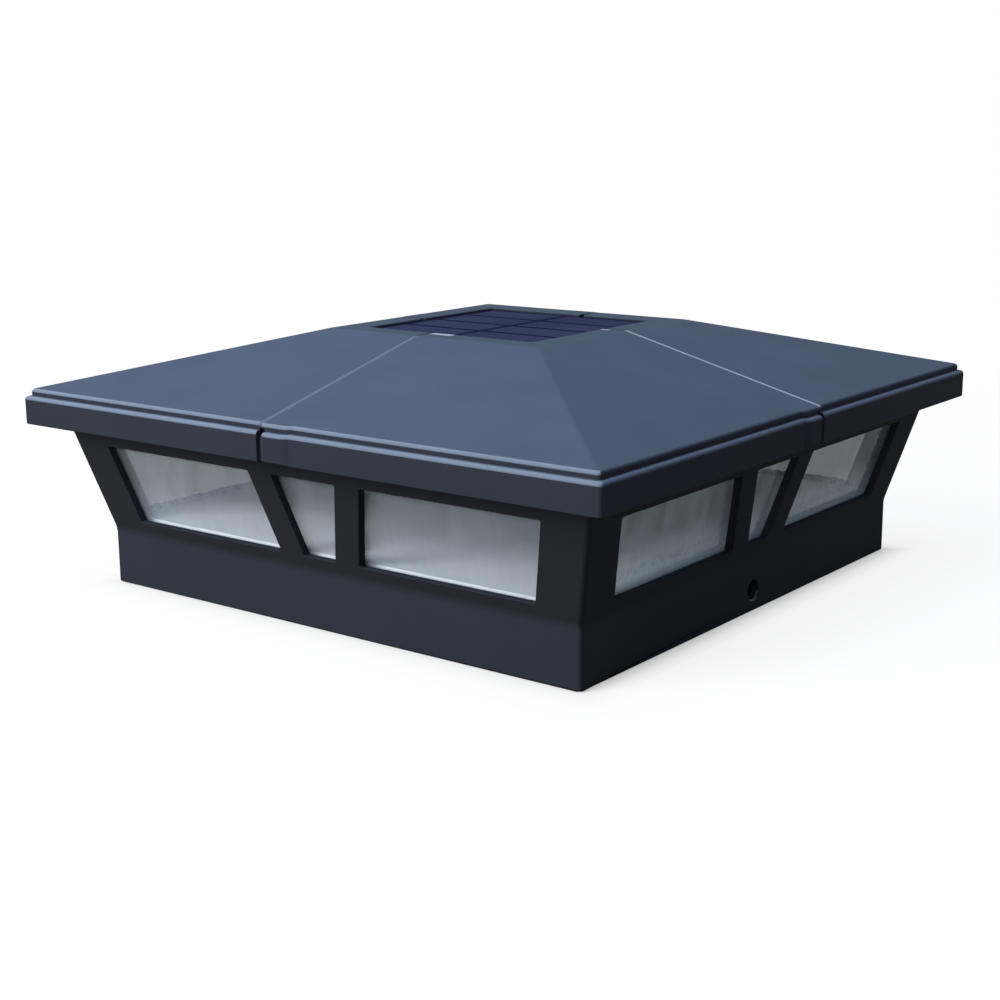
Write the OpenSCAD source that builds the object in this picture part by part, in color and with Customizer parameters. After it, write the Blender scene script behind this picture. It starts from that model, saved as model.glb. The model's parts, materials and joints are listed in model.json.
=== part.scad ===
// Solar cap light for a square deck post.
// Millimetres, +Z up. The origin is the middle of the bottom edge of the skirt.
// The sides are named from the corner that faces the viewer, between -Y and +X:
// -Y is the front left side, +X front right, -X back left and +Y back right.

/* [Post] */
// Side of the square post that the cap drops over
post_side = 140; // [100:1:200]
// Gap between the post and the skirt, on each side
post_gap = 2.5; // [0.5:0.5:4]

/* [Lantern body] */
// Thickness of the body's walls
body_wall = 2; // [1.5:0.1:3]
// Height of the upright skirt, up to the knee
skirt_h = 14.4; // [12:0.2:25]
// Height of the leaning window zone, from the knee to the bottom of the fascia
window_zone_h = 28.6; // [27:0.2:45]
// How far the window walls lean outwards from upright, in degrees
lean = 14.5; // [8:0.5:20]
// How far the body reaches up behind the fascia
body_overlap = 1.5; // [1:0.1:3]
// Thickness of the ledge that stops the post and carries the reflector
stop_ledge_t = 2; // [1.5:0.1:3]
// Width of the stop ledge, inwards from the skirt
stop_ledge_w = 14; // [8:1:25]

/* [Windows] */
// Height of the sill above the knee
sill_rise = 3.5; // [3.2:0.1:6]
// Height of the window openings
window_h = 20.1; // [14:0.1:21]
// Width of the bars between the openings
mullion_w = 7.6; // [5:0.2:10]
// Width of the body left at each corner, beside the outer openings
corner_stile_w = 12.3; // [10:0.1:16]
// Width of the middle opening along its bottom
middle_window_w = 10; // [6:0.5:16]
// Radius of the openings' corners
window_corner_r = 0.4; // [0.2:0.1:2]
// Thickness of the glass panes
pane_t = 2; // [1.5:0.1:3]
// Gap between a pane and the wall that it leans on
pane_gap = 0.1; // [0.05:0.05:0.3]
// Gap between the end of a pane and the face of the next one
pane_end_gap = 0.6; // [0.4:0.1:1]
// Height of a pane
pane_h = 23; // [21:0.5:24]
// Leg of the sealant bead round the panes
bead_w = 1; // [0.6:0.1:2.4]
// Thickness of the reflector floor
reflector_t = 1; // [0.6:0.1:2]
// Gap round the reflector floor
reflector_gap = 0.4; // [0.2:0.1:0.8]

/* [Mounting screw holes] */
// Diameter of the two holes for the screws into the post
screw_hole_d = 5; // [3.5:0.5:6]
// Height of their centres above the bottom edge
screw_hole_z = 5.4; // [4:0.2:8]

/* [Roof] */
// Side of the roof, across the fascia
roof_side = 179; // [178:1:190]
// Height of the fascia
fascia_h = 7.3; // [6.5:0.1:12]
// How far the upper eave step is set back from the fascia
step_inset = 1.3; // [0.8:0.1:3]
// Height of the upper eave step
step_rise = 1.7; // [1:0.1:3]
// Slope of the roof in degrees
roof_slope = 14.4; // [12:0.2:18]
// Side of the flat rim on top
rim_side = 67.2; // [66.8:0.2:74]
// Thickness of the roof corners
roof_wall = 2; // [1.6:0.1:3]

/* [Roof laps] */
// How far each corner piece laps over the middle of a side
lap_reach = 5; // [3:0.5:8]
// Gap between the edge of a lap and the shoulder beside it
lap_gap = 0.4; // [0.3:0.1:1]
// How far a lap stands proud at the fascia
lap_rise = 0.8; // [0.3:0.1:1.5]
// How far a lap stands proud on the roof beside the eave
lap_slope_rise = 0.35; // [0.1:0.05:0.8]
// How far a lap stands proud on the flat rim
lap_rim_rise = 0.15; // [0.05:0.05:0.3]
// Distance from the raised face of a lap to its full wall
lap_joggle = 0.5; // [0.3:0.1:1]
// How far the fascia of a lap is cut back
lap_notch = 1.3; // [0.5:0.1:2]
// How far the bottom of a lap stops above the bottom of the fascia
lap_lift = 0.4; // [0.2:0.1:1]

/* [Eave frame] */
// Thickness of the frame that closes the roof from below
frame_t = 2; // [1.6:0.1:3]
// Gap between the frame and the fascia
frame_gap = 0.3; // [0.2:0.1:0.6]
// Gap between the frame and the top of the body it rests on
seat_gap = 0.3; // [0.2:0.05:0.5]
// Thickness of the frame's locating lip
lip_t = 1.5; // [1.2:0.1:2]
// Depth of the locating lip below the frame
lip_h = 3.4; // [2:0.1:3.6]
// Gap between the lip and the inside of the body
lip_gap = 0.45; // [0.35:0.05:0.8]
// Distance of the eave screws from the middle, towards the side
eave_screw_out = 70; // [64:0.5:72]
// Distance of the eave screws from the middle, along the side
eave_screw_along = 30; // [12:1:50]

/* [Solar panel] */
// Side of the opening in the flat rim
panel_opening = 53; // [48:0.5:54]
// Gap between the panel and the edge of the opening
panel_gap = 0.3; // [0.2:0.1:0.6]
// How far the panel's face lies below the rim
panel_recess = 0.6; // [0.3:0.1:1]
// Thickness of the panel's backing board
backing_t = 1.6; // [1:0.1:2]
// Thickness of a solar cell
cell_t = 0.25; // [0.2:0.05:0.4]
// Thickness of the clear cover over the cells
cover_t = 0.8; // [0.5:0.1:1.2]
// Number of cell columns
cell_columns = 2; // [1:1:4]
// Number of cells in a column
cells_in_column = 4; // [2:1:8]
// Gap between cells
cell_gap = 0.9; // [0.4:0.1:1.5]
// Border of bare backing board round the cells
cell_border = 1.1; // [0.5:0.1:2]
// Thickness of the gasket under the rim
gasket_t = 0.6; // [0.4:0.1:1]

/* [Module] */
// Side of the module housing, outside
module_side = 57; // [57:0.5:62]
// Thickness of the module's walls
module_wall = 1.8; // [1.4:0.1:2.2]
// Height of the module's bottom below the eave frame
module_drop = 4.3; // [2:0.1:6]
// Distance of the ears that hold the module, from the middle along X and Y
ear_place = 34; // [34:0.5:36]
// Radius of the ears
ear_r = 4; // [3.5:0.1:5]
// Distance of the ears' undersides below the underside of the rim
ear_drop = 6; // [5.8:0.1:7]
// Depth of thread in the bosses over the ears
ear_thread_l = 3.8; // [3:0.1:3.8]
// Inset of the base screws from the side of the module
base_screw_inset = 3.3; // [3.2:0.1:4]

/* [Battery] */
// Diameter of the rechargeable cell
battery_d = 14; // [10:0.5:14.5]
// Length of the cell, with its raised end
battery_l = 43; // [40:0.5:44]
// Distance of the cell from the middle of the module
battery_y = 13; // [12:0.5:13.5]
// Gap between the cell and the base
battery_gap = 0.7; // [0.4:0.1:1.2]
// Thickness of the sheet metal of the contacts
contact_t = 0.4; // [0.3:0.1:0.5]
// Wire diameter of the contact spring
spring_wire_d = 0.8; // [0.6:0.1:1]
// Number of turns of the spring
spring_turns = 4; // [3:1:5]
// Radius of the spring's widest turn, against its plate
spring_r = 5.2; // [4.5:0.1:5.5]
// Radius of the spring's last turn, against the cell
spring_tip_r = 3.2; // [2.5:0.1:3.5]
// Width of the contact plates
contact_w = 9; // [7:0.5:11]
// Diameter of the cell's raised end
nub_d = 6; // [4:0.5:7]
// Height of the cell's raised end
nub_l = 1; // [0.5:0.1:1.5]
// Diameter of the dimple that meets the raised end
dimple_d = 4; // [3:0.5:5]
// Height of the dimple
dimple_h = 0.8; // [0.5:0.1:1]
// Thickness of the block behind the front contact
stop_block_t = 2.5; // [2:0.1:2.8]
// Gap between the cell and the divider beside it
divider_gap = 1.5; // [1:0.1:2]
// Thickness of the divider
divider_t = 1.5; // [1.2:0.1:2]
// Gap above the divider, where the leads pass
divider_drop = 4; // [3:0.5:5]

/* [Battery door] */
// Length of the door opening
door_l = 47; // [45:0.5:47]
// Width of the door opening
door_w = 16.5; // [15:0.5:16.5]
// Gap round the door
door_gap = 0.3; // [0.25:0.05:0.5]
// Diameter of the hinge barrels
barrel_d = 2.4; // [2.2:0.1:2.6]
// Length of each hinge barrel
barrel_l = 4; // [3:0.5:6]
// Diameter of the hinge stubs
stub_d = 1.2; // [1:0.1:1.3]
// Clearance on the radius of the stubs
stub_fit = 0.05; // [0.03:0.01:0.08]
// Distance of the hinge barrels' inner ends from the middle
barrel_place = 8; // [4:0.5:12]

/* [Circuit board and light] */
// Length of the board
board_l = 44; // [42:0.5:44]
// Width of the board
board_w = 26; // [24:0.5:26]
// Thickness of the board
board_t = 1.6; // [1:0.1:1.6]
// Height of the board above the base
board_rise = 4.7; // [4.5:0.1:6]
// Distance of the board's middle from the middle of the module
board_y = 12.5; // [12.5:0.1:13]
// Diameter of the lens below the base
lens_d = 17; // [12:0.5:18]
// How far the lens stands below the base
lens_drop = 1.2; // [0.6:0.1:2]
// Distance of the lens from the middle, along X
lens_x = -5; // [-6:0.5:-4]
// Number of light-emitting diodes
led_count = 4; // [2:1:8]
// Distance of the diodes' middles from the middle of the lens
led_ring_r = 5; // [4:0.2:6]
// Side of the driver chip
chip_side = 5; // [3:0.5:6]
// Height of the driver chip
chip_h = 1.5; // [1:0.1:2]
// Distance of the driver chip from the middle
chip_x = 10.5; // [8:0.5:12]
// Diameter of the coil
coil_d = 6; // [4:0.5:7]
// Height of the coil
coil_h = 5; // [3:0.5:6]
// Diameter of the capacitor
capacitor_d = 5; // [4:0.5:6]
// Height of the capacitor
capacitor_h = 7; // [5:0.5:9]
// Distance of the coil and the capacitor from the middle
coil_x = 10; // [9:0.5:11]
// Distance of the coil and the capacitor from the middle of the board, along Y
coil_dy = 6; // [5:0.5:7]

/* [Switch] */
// Travel of the switch slider
switch_travel = 2.5; // [1.5:0.1:2.5]
// Distance of the switch from the middle, along X
switch_x = 11; // [10:0.5:11.5]
// Width of the slider's stem
stem_w = 1.8; // [1.4:0.1:2]
// Length of the slider's stem, along its travel
stem_l = 2.4; // [2:0.1:3]
// How far the stem stands below the base
stem_drop = 0.9; // [0.4:0.1:1.5]
// Gap round the slider
slider_gap = 0.3; // [0.3:0.05:0.5]

/* [Fasteners] */
// Shank diameter of the eave and module screws
screw_d = 2.9; // [2.5:0.1:3.2]
// Head diameter of the eave and module screws
screw_head_d = 5.4; // [5:0.1:5.8]
// Head height of the eave and module screws
screw_head_h = 1.8; // [1.4:0.1:2]
// Shank diameter of the base and board screws
small_screw_d = 2; // [1.8:0.1:2.2]
// Head diameter of the base and board screws
small_head_d = 4; // [3.6:0.1:4.4]
// Head height of the base and board screws
small_head_h = 1.4; // [1:0.1:1.6]
// Diameter of the bosses that the eave and module screws bite in
boss_d = 6; // [5.5:0.1:6.5]
// Clearance on the diameter of a screw's through hole
through_fit = 0.4; // [0.2:0.1:0.6]
// Depth of thread in a boss
thread_l = 5; // [4:0.5:5.5]

/* [Wires] */
// Diameter of the insulated leads
lead_d = 1.3; // [1:0.1:1.6]
// Distance of the panel leads' hole from the middle
panel_lead_y = 8; // [6:0.5:9]
// Distance of the panel leads' ends from the middle
panel_lead_end_x = 5; // [3:0.5:5]
// How far the panel leads run outwards on their way down
panel_lead_run = 2.5; // [0:0.5:4]
// Distance of the battery leads' ends from the middle
battery_lead_end_x = 17; // [15:0.5:18]
// Distance of the battery leads' ends from the middle of the board, along Y
battery_lead_end_dy = 4; // [2:0.5:4.5]

/* [Hidden] */
$fn = 48;

// A length past everything, for cutting tools
far = 2 * roof_side;
// A small overlap for cutting tools and joined shapes
eps = 0.01;

// Lantern body
skirt_inner = post_side / 2 + post_gap;
skirt_half = skirt_inner + body_wall;
eave_z = skirt_h + window_zone_h;
body_top_z = eave_z + body_overlap;
wall_run = body_wall / cos(lean);
pane_run = pane_t / cos(lean);
sill_z = skirt_h + sill_rise;
window_top_z = sill_z + window_h;
ledge_top_z = skirt_h + stop_ledge_t;
floor_z = ledge_top_z + reflector_t;
pane_top_z = floor_z + pane_h;

// Half the body's width at height z: outside, inside the wall, and inside the glass
function body_half(z) = skirt_half + max(0, z - skirt_h) * tan(lean);
function wall_inner(z) = body_half(z) - wall_run;
function pane_outer(z) = wall_inner(z) - pane_gap;
function pane_inner(z) = pane_outer(z) - pane_run;

// Roof
roof_half = roof_side / 2;
rim_half = rim_side / 2;
panel_open_half = panel_opening / 2;
step_half = roof_half - step_inset;
ledge_z = eave_z + fascia_h;
step_z = ledge_z + step_rise;
rim_z = step_z + (step_half - rim_half) * tan(roof_slope);
rim_under_z = rim_z - roof_wall;
lap_mid = roof_wall / 2;

// Eave frame
frame_z = body_top_z + seat_gap;
frame_top_z = frame_z + frame_t;
frame_half = roof_half - roof_wall - frame_gap;
lip_half = wall_inner(frame_z - lip_h) - lip_gap;

// Solar panel and module
panel_half = panel_open_half - panel_gap;
cover_z = rim_z - panel_recess;
cell_z = cover_z - cover_t - cell_t;
backing_z = cell_z - backing_t;
module_half = module_side / 2;
module_in = module_half - module_wall;
base_z = frame_z - module_drop;
base_top_z = base_z + module_wall;
seat_plate_z = backing_z - module_wall;
housing_top_z = rim_under_z - gasket_t;
ear_z = rim_under_z - ear_drop;
ear_top_z = ear_z + module_wall;
base_screw_place = module_half - base_screw_inset;
base_boss_r = small_screw_d / 2 + 1.5;
base_boss_top = base_top_z + thread_l + 1;

// Battery and its compartment
battery_z = base_top_z + battery_gap + battery_d / 2;
divider_y = battery_y - battery_d / 2 - divider_gap - divider_t;
divider_top = seat_plate_z - divider_drop;
battery_end = module_in - stop_block_t - contact_t - dimple_h;
battery_start = battery_end - battery_l;

// Battery door
door_y0 = battery_y - door_w / 2;
door_y1 = battery_y + door_w / 2;
hinge_y = door_y1 + barrel_d / 2 + 0.7;
hinge_z = base_z + module_wall / 2;
hinge_ear_half = barrel_d / 2 + 0.1;
stub_l = 2;

// Circuit board, light and switch
board_z = base_top_z + board_rise;
board_top_z = board_z + board_t;
post_x = board_l / 2 - 4;
post_dy = board_w / 2 - 4.5;
lens_flange_r = lens_d / 2 + 1.2;
led_size = [3.5, 2.8, 0.8];
case_wall = 0.6;
case_h = board_z - base_top_z - 1.3;
case_w = stem_w + 2 * (slider_gap + 0.25) + 2 * case_wall;
case_l = stem_l + switch_travel + 2 * slider_gap + 2 * (case_wall + 1.2);

// Screws and wires
boss_hole_d = screw_d - 0.5;
small_boss_hole_d = small_screw_d - 0.4;
lead_hole_d = 3 * lead_d + 0.6;
lead_hole_y = -panel_lead_y;

// ---------------------------------------------------------------- helpers

// The points of an outline with its corners rounded
function unit(v) = v / norm(v);
function rounded(pts, r, steps = 4) = [
    for (i = [0 : len(pts) - 1])
        let (n = len(pts),
             here = pts[i],
             back = unit(pts[(i + n - 1) % n] - here),
             ahead = unit(pts[(i + 1) % n] - here),
             half = acos(back * ahead) / 2,
             centre = here + unit(back + ahead) * r / sin(half),
             from = here + back * r / tan(half) - centre,
             to = here + ahead * r / tan(half) - centre,
             start = atan2(from[1], from[0]),
             turn = (atan2(to[1], to[0]) - start + 540) % 360 - 180)
            for (s = [0 : steps]) centre + r * [cos(start + turn * s / steps), sin(start + turn * s / steps)]
];

// A square block that narrows or widens evenly: half widths and heights of its two ends
module square_frustum(half_0, z_0, half_1, z_1) {
    intersection_for (turn = [0, 90])
        rotate([90, 0, turn]) linear_extrude(far, center = true)
            polygon([[-half_0, z_0], [half_0, z_0], [half_1, z_1], [-half_1, z_1]]);
}

// A square ring of upright walls
module square_ring(outer_half, inner_half, z_0, z_1) {
    difference() {
        translate([-outer_half, -outer_half, z_0]) cube([2 * outer_half, 2 * outer_half, z_1 - z_0]);
        translate([-inner_half, -inner_half, z_0 - eps])
            cube([2 * inner_half, 2 * inner_half, z_1 - z_0 + 2 * eps]);
    }
}

// A section of [distance from the middle, height], drawn out along the front left side
module side_bar(section, x_0, x_1) {
    translate([x_0, 0, 0]) mirror([0, 1, 0]) rotate([90, 0, 90]) linear_extrude(x_1 - x_0) polygon(section);
}

// The wedge of space between the middle and the front left side
module side_wedge(half_angle_run) {
    translate([0, 0, -far / 2]) linear_extrude(far)
        polygon([[0, 0], [half_angle_run, -far], [-half_angle_run, -far]]);
}

// Copies in all four corners
module in_corners(x, y) {
    for (sx = [-1, 1], sy = [-1, 1]) translate([sx * x, sy * y, 0]) children();
}

// A pan-head screw with its head's underside at height z, pointing up
module screw_up(z, shank_d, shank_l, head_d, head_h) {
    translate([0, 0, z]) cylinder(d = shank_d, h = shank_l);
    difference() {
        translate([0, 0, z - head_h]) cylinder(d = head_d, h = head_h);
        for (turn = [0, 90])
            translate([0, 0, z - head_h]) rotate(turn)
                cube([head_d * 0.55, head_d * 0.14, head_h], center = true);
    }
}

// A round tube through a list of points, as one solid
function tube_frame(d) = let (side = unit(cross(d, abs(d[2]) > 0.9 ? [1, 0, 0] : [0, 0, 1])))
    [side, cross(side, d)];
module tube(path, r, sides = 8) {
    n = len(path);
    rings = [
        for (i = [0 : n - 1])
            let (d = unit(path[min(i + 1, n - 1)] - path[max(i - 1, 0)]), f = tube_frame(d))
                for (k = [0 : sides - 1])
                    path[i] + r * (f[0] * cos(360 * k / sides) + f[1] * sin(360 * k / sides))
    ];
    walls = [
        for (i = [0 : n - 2], k = [0 : sides - 1])
            [i * sides + k, i * sides + (k + 1) % sides, (i + 1) * sides + (k + 1) % sides, (i + 1) * sides + k]
    ];
    polyhedron(rings, concat(
        walls,
        [[for (k = [sides - 1 : -1 : 0]) k]],
        [[for (k = [0 : sides - 1]) (n - 1) * sides + k]]));
}

// A smooth curve from a to b that leaves and arrives upright
function lead_path(a, b, top, steps = 12) = [
    for (s = [0 : steps])
        let (t = s / steps,
             p = [a, [a[0], a[1], top], [b[0], b[1], top], b],
             u = 1 - t)
            u * u * u * p[0] + 3 * u * u * t * p[1] + 3 * u * t * t * p[2] + t * t * t * p[3]
];

// ---------------------------------------------------------------- lantern body

// The outlines of the three openings of a side, in the wall's own width and height.
// Their upright edges run parallel to the body's leaning corners.
module window_outlines() {
    lean_run = window_h * tan(lean);
    inner = middle_window_w / 2 + mullion_w;
    outer = body_half(sill_z) - corner_stile_w;
    polygon(rounded([[-middle_window_w / 2, sill_z], [middle_window_w / 2, sill_z],
                     [middle_window_w / 2 + lean_run, window_top_z],
                     [-middle_window_w / 2 - lean_run, window_top_z]], window_corner_r));
    for (side = [0, 1]) mirror([side, 0])
        polygon(rounded([[inner, sill_z], [outer, sill_z],
                         [outer + lean_run, window_top_z], [inner + lean_run, window_top_z]],
                        window_corner_r));
}

// The shell of the body before its openings are cut
module body_shell() {
    difference() {
        union() {
            translate([-skirt_half, -skirt_half, 0]) cube([2 * skirt_half, 2 * skirt_half, skirt_h]);
            square_frustum(skirt_half, skirt_h, body_half(body_top_z), body_top_z);
        }
        translate([-skirt_inner, -skirt_inner, -eps]) cube([2 * skirt_inner, 2 * skirt_inner, skirt_h + eps]);
        translate([0, 0, skirt_h - eps]) linear_extrude(stop_ledge_t + 2 * eps)
            square(2 * (skirt_inner - stop_ledge_w), center = true);
        square_frustum(wall_inner(ledge_top_z), ledge_top_z, wall_inner(body_top_z + 1), body_top_z + 1);
    }
}

module lantern_body() {
    color("#2b2d33") difference() {
        body_shell();
        for (turn = [0 : 90 : 270])
            rotate([90, 0, turn]) translate([0, 0, skirt_inner - 2 * wall_run])
                linear_extrude(far) window_outlines();
        for (turn = [90, 270])
            rotate([90, 0, turn]) translate([0, screw_hole_z, skirt_inner - 1])
                cylinder(d = screw_hole_d, h = body_wall + 2);
    }
}

// One pane, leaning against the inside of the front left wall
module window_pane() {
    color("#b9c6cf", 0.5) intersection() {
        side_bar([[pane_inner(floor_z), floor_z], [pane_outer(floor_z), floor_z],
                  [pane_outer(pane_top_z), pane_top_z], [pane_inner(pane_top_z), pane_top_z]],
                 -roof_half, roof_half);
        rotate([90, 0, 0]) linear_extrude(far, center = true)
            polygon([for (end = [[-1, floor_z], [1, floor_z], [1, pane_top_z], [-1, pane_top_z]])
                [end[0] * (pane_inner(end[1]) - pane_end_gap), end[1]]]);
    }
}

module window_pane_front_left() window_pane();
module window_pane_front_right() rotate(90) window_pane();
module window_pane_back_right() rotate(180) window_pane();
module window_pane_back_left() rotate(270) window_pane();

// The bead along the bottom of each pane and up each inside corner
module pane_sealant() {
    color("#1f2123") {
        difference() {
            square_frustum(pane_inner(floor_z), floor_z, pane_inner(floor_z + bead_w), floor_z + bead_w);
            square_frustum(pane_inner(floor_z) - bead_w, floor_z - eps,
                           pane_inner(floor_z + bead_w), floor_z + bead_w + 2 * eps);
        }
        for (turn = [0 : 90 : 270]) rotate(turn) difference() {
            intersection() {
                square_frustum(pane_inner(floor_z), floor_z, pane_inner(pane_top_z), pane_top_z);
                rotate([0, 0, 45]) translate([0, 0, far / 2]) cube([far, 1.4 * bead_w, far], center = true);
                translate([0, 0, 0]) cube(far);
            }
            square_frustum(pane_inner(floor_z) - bead_w, floor_z - eps,
                           pane_inner(pane_top_z) - bead_w, pane_top_z + eps);
        }
    }
}

module reflector_floor() {
    half = wall_inner(ledge_top_z) - reflector_gap;
    color("#d8dde2") translate([-half, -half, ledge_top_z]) cube([2 * half, 2 * half, reflector_t]);
}

// ---------------------------------------------------------------- roof

// The line of the roof's surface from the panel opening out and down to the eave,
// set in by `inset` from the outer surface and cut off `lift` above the eave
function roof_line(inset, lift = 0) = [
    [panel_open_half, rim_z - inset],
    [rim_half - inset * tan(roof_slope / 2), rim_z - inset],
    [step_half - inset, step_z - inset * (1 - sin(roof_slope)) / cos(roof_slope)],
    [step_half - inset, ledge_z - inset],
    [roof_half - inset, ledge_z - inset],
    [roof_half - inset, eave_z + lift]
];

// The same line over a lap, which stands proud of the roof
lap_line = [
    [panel_open_half, rim_z + lap_rim_rise],
    [rim_half, rim_z + lap_rim_rise],
    [step_half + lap_rise, step_z + lap_slope_rise],
    [step_half + lap_rise, ledge_z],
    [roof_half + lap_rise, ledge_z],
    [roof_half + lap_rise, eave_z + lap_lift]
];

function reversed(pts) = [for (i = [len(pts) - 1 : -1 : 0]) pts[i]];

// Height of the roof's outer surface and of its underside, at a distance from the middle
function roof_top(d) = rim_z - (d - rim_half) * tan(roof_slope);
function roof_under(d) = roof_top(d) - roof_wall / cos(roof_slope);

// The full wall of one wing of a corner piece, from `start` to the mitre at the hip
module roof_wing(start) {
    intersection() {
        side_bar(concat(roof_line(0), reversed(roof_line(roof_wall))), start, roof_half);
        side_wedge(far);
    }
}

// Bosses for the screws of the eave frame and of the module, with their pilot holes
module roof_bosses() {
    boss_top = (roof_under(eave_screw_out - boss_d / 2) + roof_top(eave_screw_out + boss_d / 2)) / 2;
    for (side = [0, 1]) mirror([side, side, 0])
        translate([eave_screw_along, -eave_screw_out, frame_top_z])
            difference() {
                cylinder(d = boss_d, h = boss_top - frame_top_z);
                translate([0, 0, -1]) cylinder(d = boss_hole_d, h = thread_l + 1);
            }
    translate([ear_place, -ear_place, ear_top_z]) difference() {
        cylinder(d = boss_d, h = rim_under_z + 0.5 - ear_top_z);
        translate([0, 0, -1]) cylinder(d = boss_hole_d, h = ear_thread_l + 1);
    }
}

// A corner piece whose two wings lap over their neighbours
module roof_corner_over() {
    color("#3b4450") union() {
        for (side = [0, 1]) mirror([side, side, 0]) {
            roof_wing(lap_reach);
            side_bar(concat(roof_line(0), reversed(roof_line(lap_mid))),
                     lap_reach - 2 * lap_joggle, lap_reach + eps);
            difference() {
                side_bar(concat(lap_line, reversed(roof_line(lap_mid, lap_lift))),
                         -lap_reach, lap_reach - lap_joggle);
                translate([-lap_reach - 1, -far - step_half + lap_mid, 0])
                    cube([1 + lap_notch, far, step_z]);
            }
        }
        roof_bosses();
    }
}

// A corner piece whose two wings carry the laps of their neighbours on a set-down ledge
module roof_corner_under() {
    shoulder = lap_reach + lap_gap;
    color("#3b4450") union() {
        for (side = [0, 1]) mirror([side, side, 0]) {
            roof_wing(shoulder);
            side_bar(concat(roof_line(lap_mid), reversed(roof_line(roof_wall))),
                     lap_gap - lap_reach, shoulder + eps);
        }
        roof_bosses();
    }
}

module roof_corner_front() roof_corner_over();
module roof_corner_right() rotate(90) roof_corner_under();
module roof_corner_back() rotate(180) roof_corner_over();
module roof_corner_left() rotate(270) roof_corner_under();

// The places of the eave screws
module at_eave_screws() {
    in_corners(eave_screw_along, eave_screw_out) children();
    in_corners(eave_screw_out, eave_screw_along) children();
}

module eave_frame() {
    color("#26282c") difference() {
        union() {
            square_ring(frame_half, module_half + frame_gap, frame_z, frame_top_z);
            square_ring(lip_half, lip_half - lip_t, frame_z - lip_h, frame_z + eps);
        }
        at_eave_screws() translate([0, 0, frame_z - 1]) cylinder(d = screw_d + through_fit, h = frame_t + 2);
    }
}

module eave_screws() {
    color("#a9adb0") at_eave_screws()
        screw_up(frame_z, boss_hole_d, frame_t + thread_l - 0.5, screw_head_d, screw_head_h);
}

// ---------------------------------------------------------------- solar panel

module solar_backing() {
    color("#1a1d33") translate([-panel_half, -panel_half, backing_z])
        cube([2 * panel_half, 2 * panel_half, backing_t]);
}

module solar_cells() {
    area = 2 * (panel_half - cell_border);
    cell_x = (area - (cell_columns - 1) * cell_gap) / cell_columns;
    cell_y = (area - (cells_in_column - 1) * cell_gap) / cells_in_column;
    color("#262b52")
        for (column = [0 : cell_columns - 1], row = [0 : cells_in_column - 1])
            translate([-area / 2 + column * (cell_x + cell_gap), -area / 2 + row * (cell_y + cell_gap), cell_z])
                cube([cell_x, cell_y, cell_t]);
}

module solar_cover() {
    top = cell_z + cell_t;
    color("#39406a", 0.5) translate([-panel_half, -panel_half, top])
        cube([2 * panel_half, 2 * panel_half, cover_t]);
}

module panel_gasket() {
    color("#18191b") square_ring(module_half, panel_half + panel_gap, housing_top_z, rim_under_z);
}

// ---------------------------------------------------------------- module

// One ear of the housing, in the corner of +X and +Y
module housing_ear() {
    translate([0, 0, ear_z]) linear_extrude(module_wall) hull() {
        translate([ear_place, ear_place]) circle(ear_r, $fn = 32);
        translate([module_half - 2 * ear_r, module_half - 2 * ear_r]) square(2 * ear_r - module_wall / 2);
    }
}

module module_housing() {
    color("#1d1e20") difference() {
        union() {
            square_ring(module_half, module_in, base_top_z, housing_top_z);
            translate([-module_in - eps, -module_in - eps, seat_plate_z])
                cube([2 * module_in + 2 * eps, 2 * module_in + 2 * eps, module_wall]);
            difference() {
                for (turn = [0 : 90 : 270]) rotate(turn) housing_ear();
                translate([-module_in, -module_in, ear_z - 1])
                    cube([2 * module_in, 2 * module_in, module_wall + 2]);
            }
            in_corners(base_screw_place, base_screw_place)
                translate([0, 0, base_top_z]) cylinder(r = base_boss_r, h = base_boss_top - base_top_z);
            translate([-module_in - eps, divider_y, base_top_z])
                cube([2 * module_in + 2 * eps, divider_t, divider_top - base_top_z]);
            translate([module_in - stop_block_t, battery_y - contact_w / 2 - 1, base_top_z + 1])
                cube([stop_block_t + eps, contact_w + 2, battery_d]);
        }
        in_corners(base_screw_place, base_screw_place)
            translate([0, 0, base_top_z - 1]) cylinder(d = small_boss_hole_d, h = thread_l + 1);
        in_corners(ear_place, ear_place)
            translate([0, 0, ear_z - 1]) cylinder(d = screw_d + through_fit, h = module_wall + 2);
        translate([0, lead_hole_y, seat_plate_z - 1]) cylinder(d = lead_hole_d, h = module_wall + 2);
    }
}

module module_screws() {
    color("#a9adb0") in_corners(ear_place, ear_place)
        screw_up(ear_z, boss_hole_d, module_wall + ear_thread_l - 0.5, screw_head_d, screw_head_h);
}

// The places of the board's standoffs
module at_board_posts() {
    for (sx = [-1, 1], sy = [-1, 1]) translate([sx * post_x, sy * post_dy - board_y, 0]) children();
}

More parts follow.
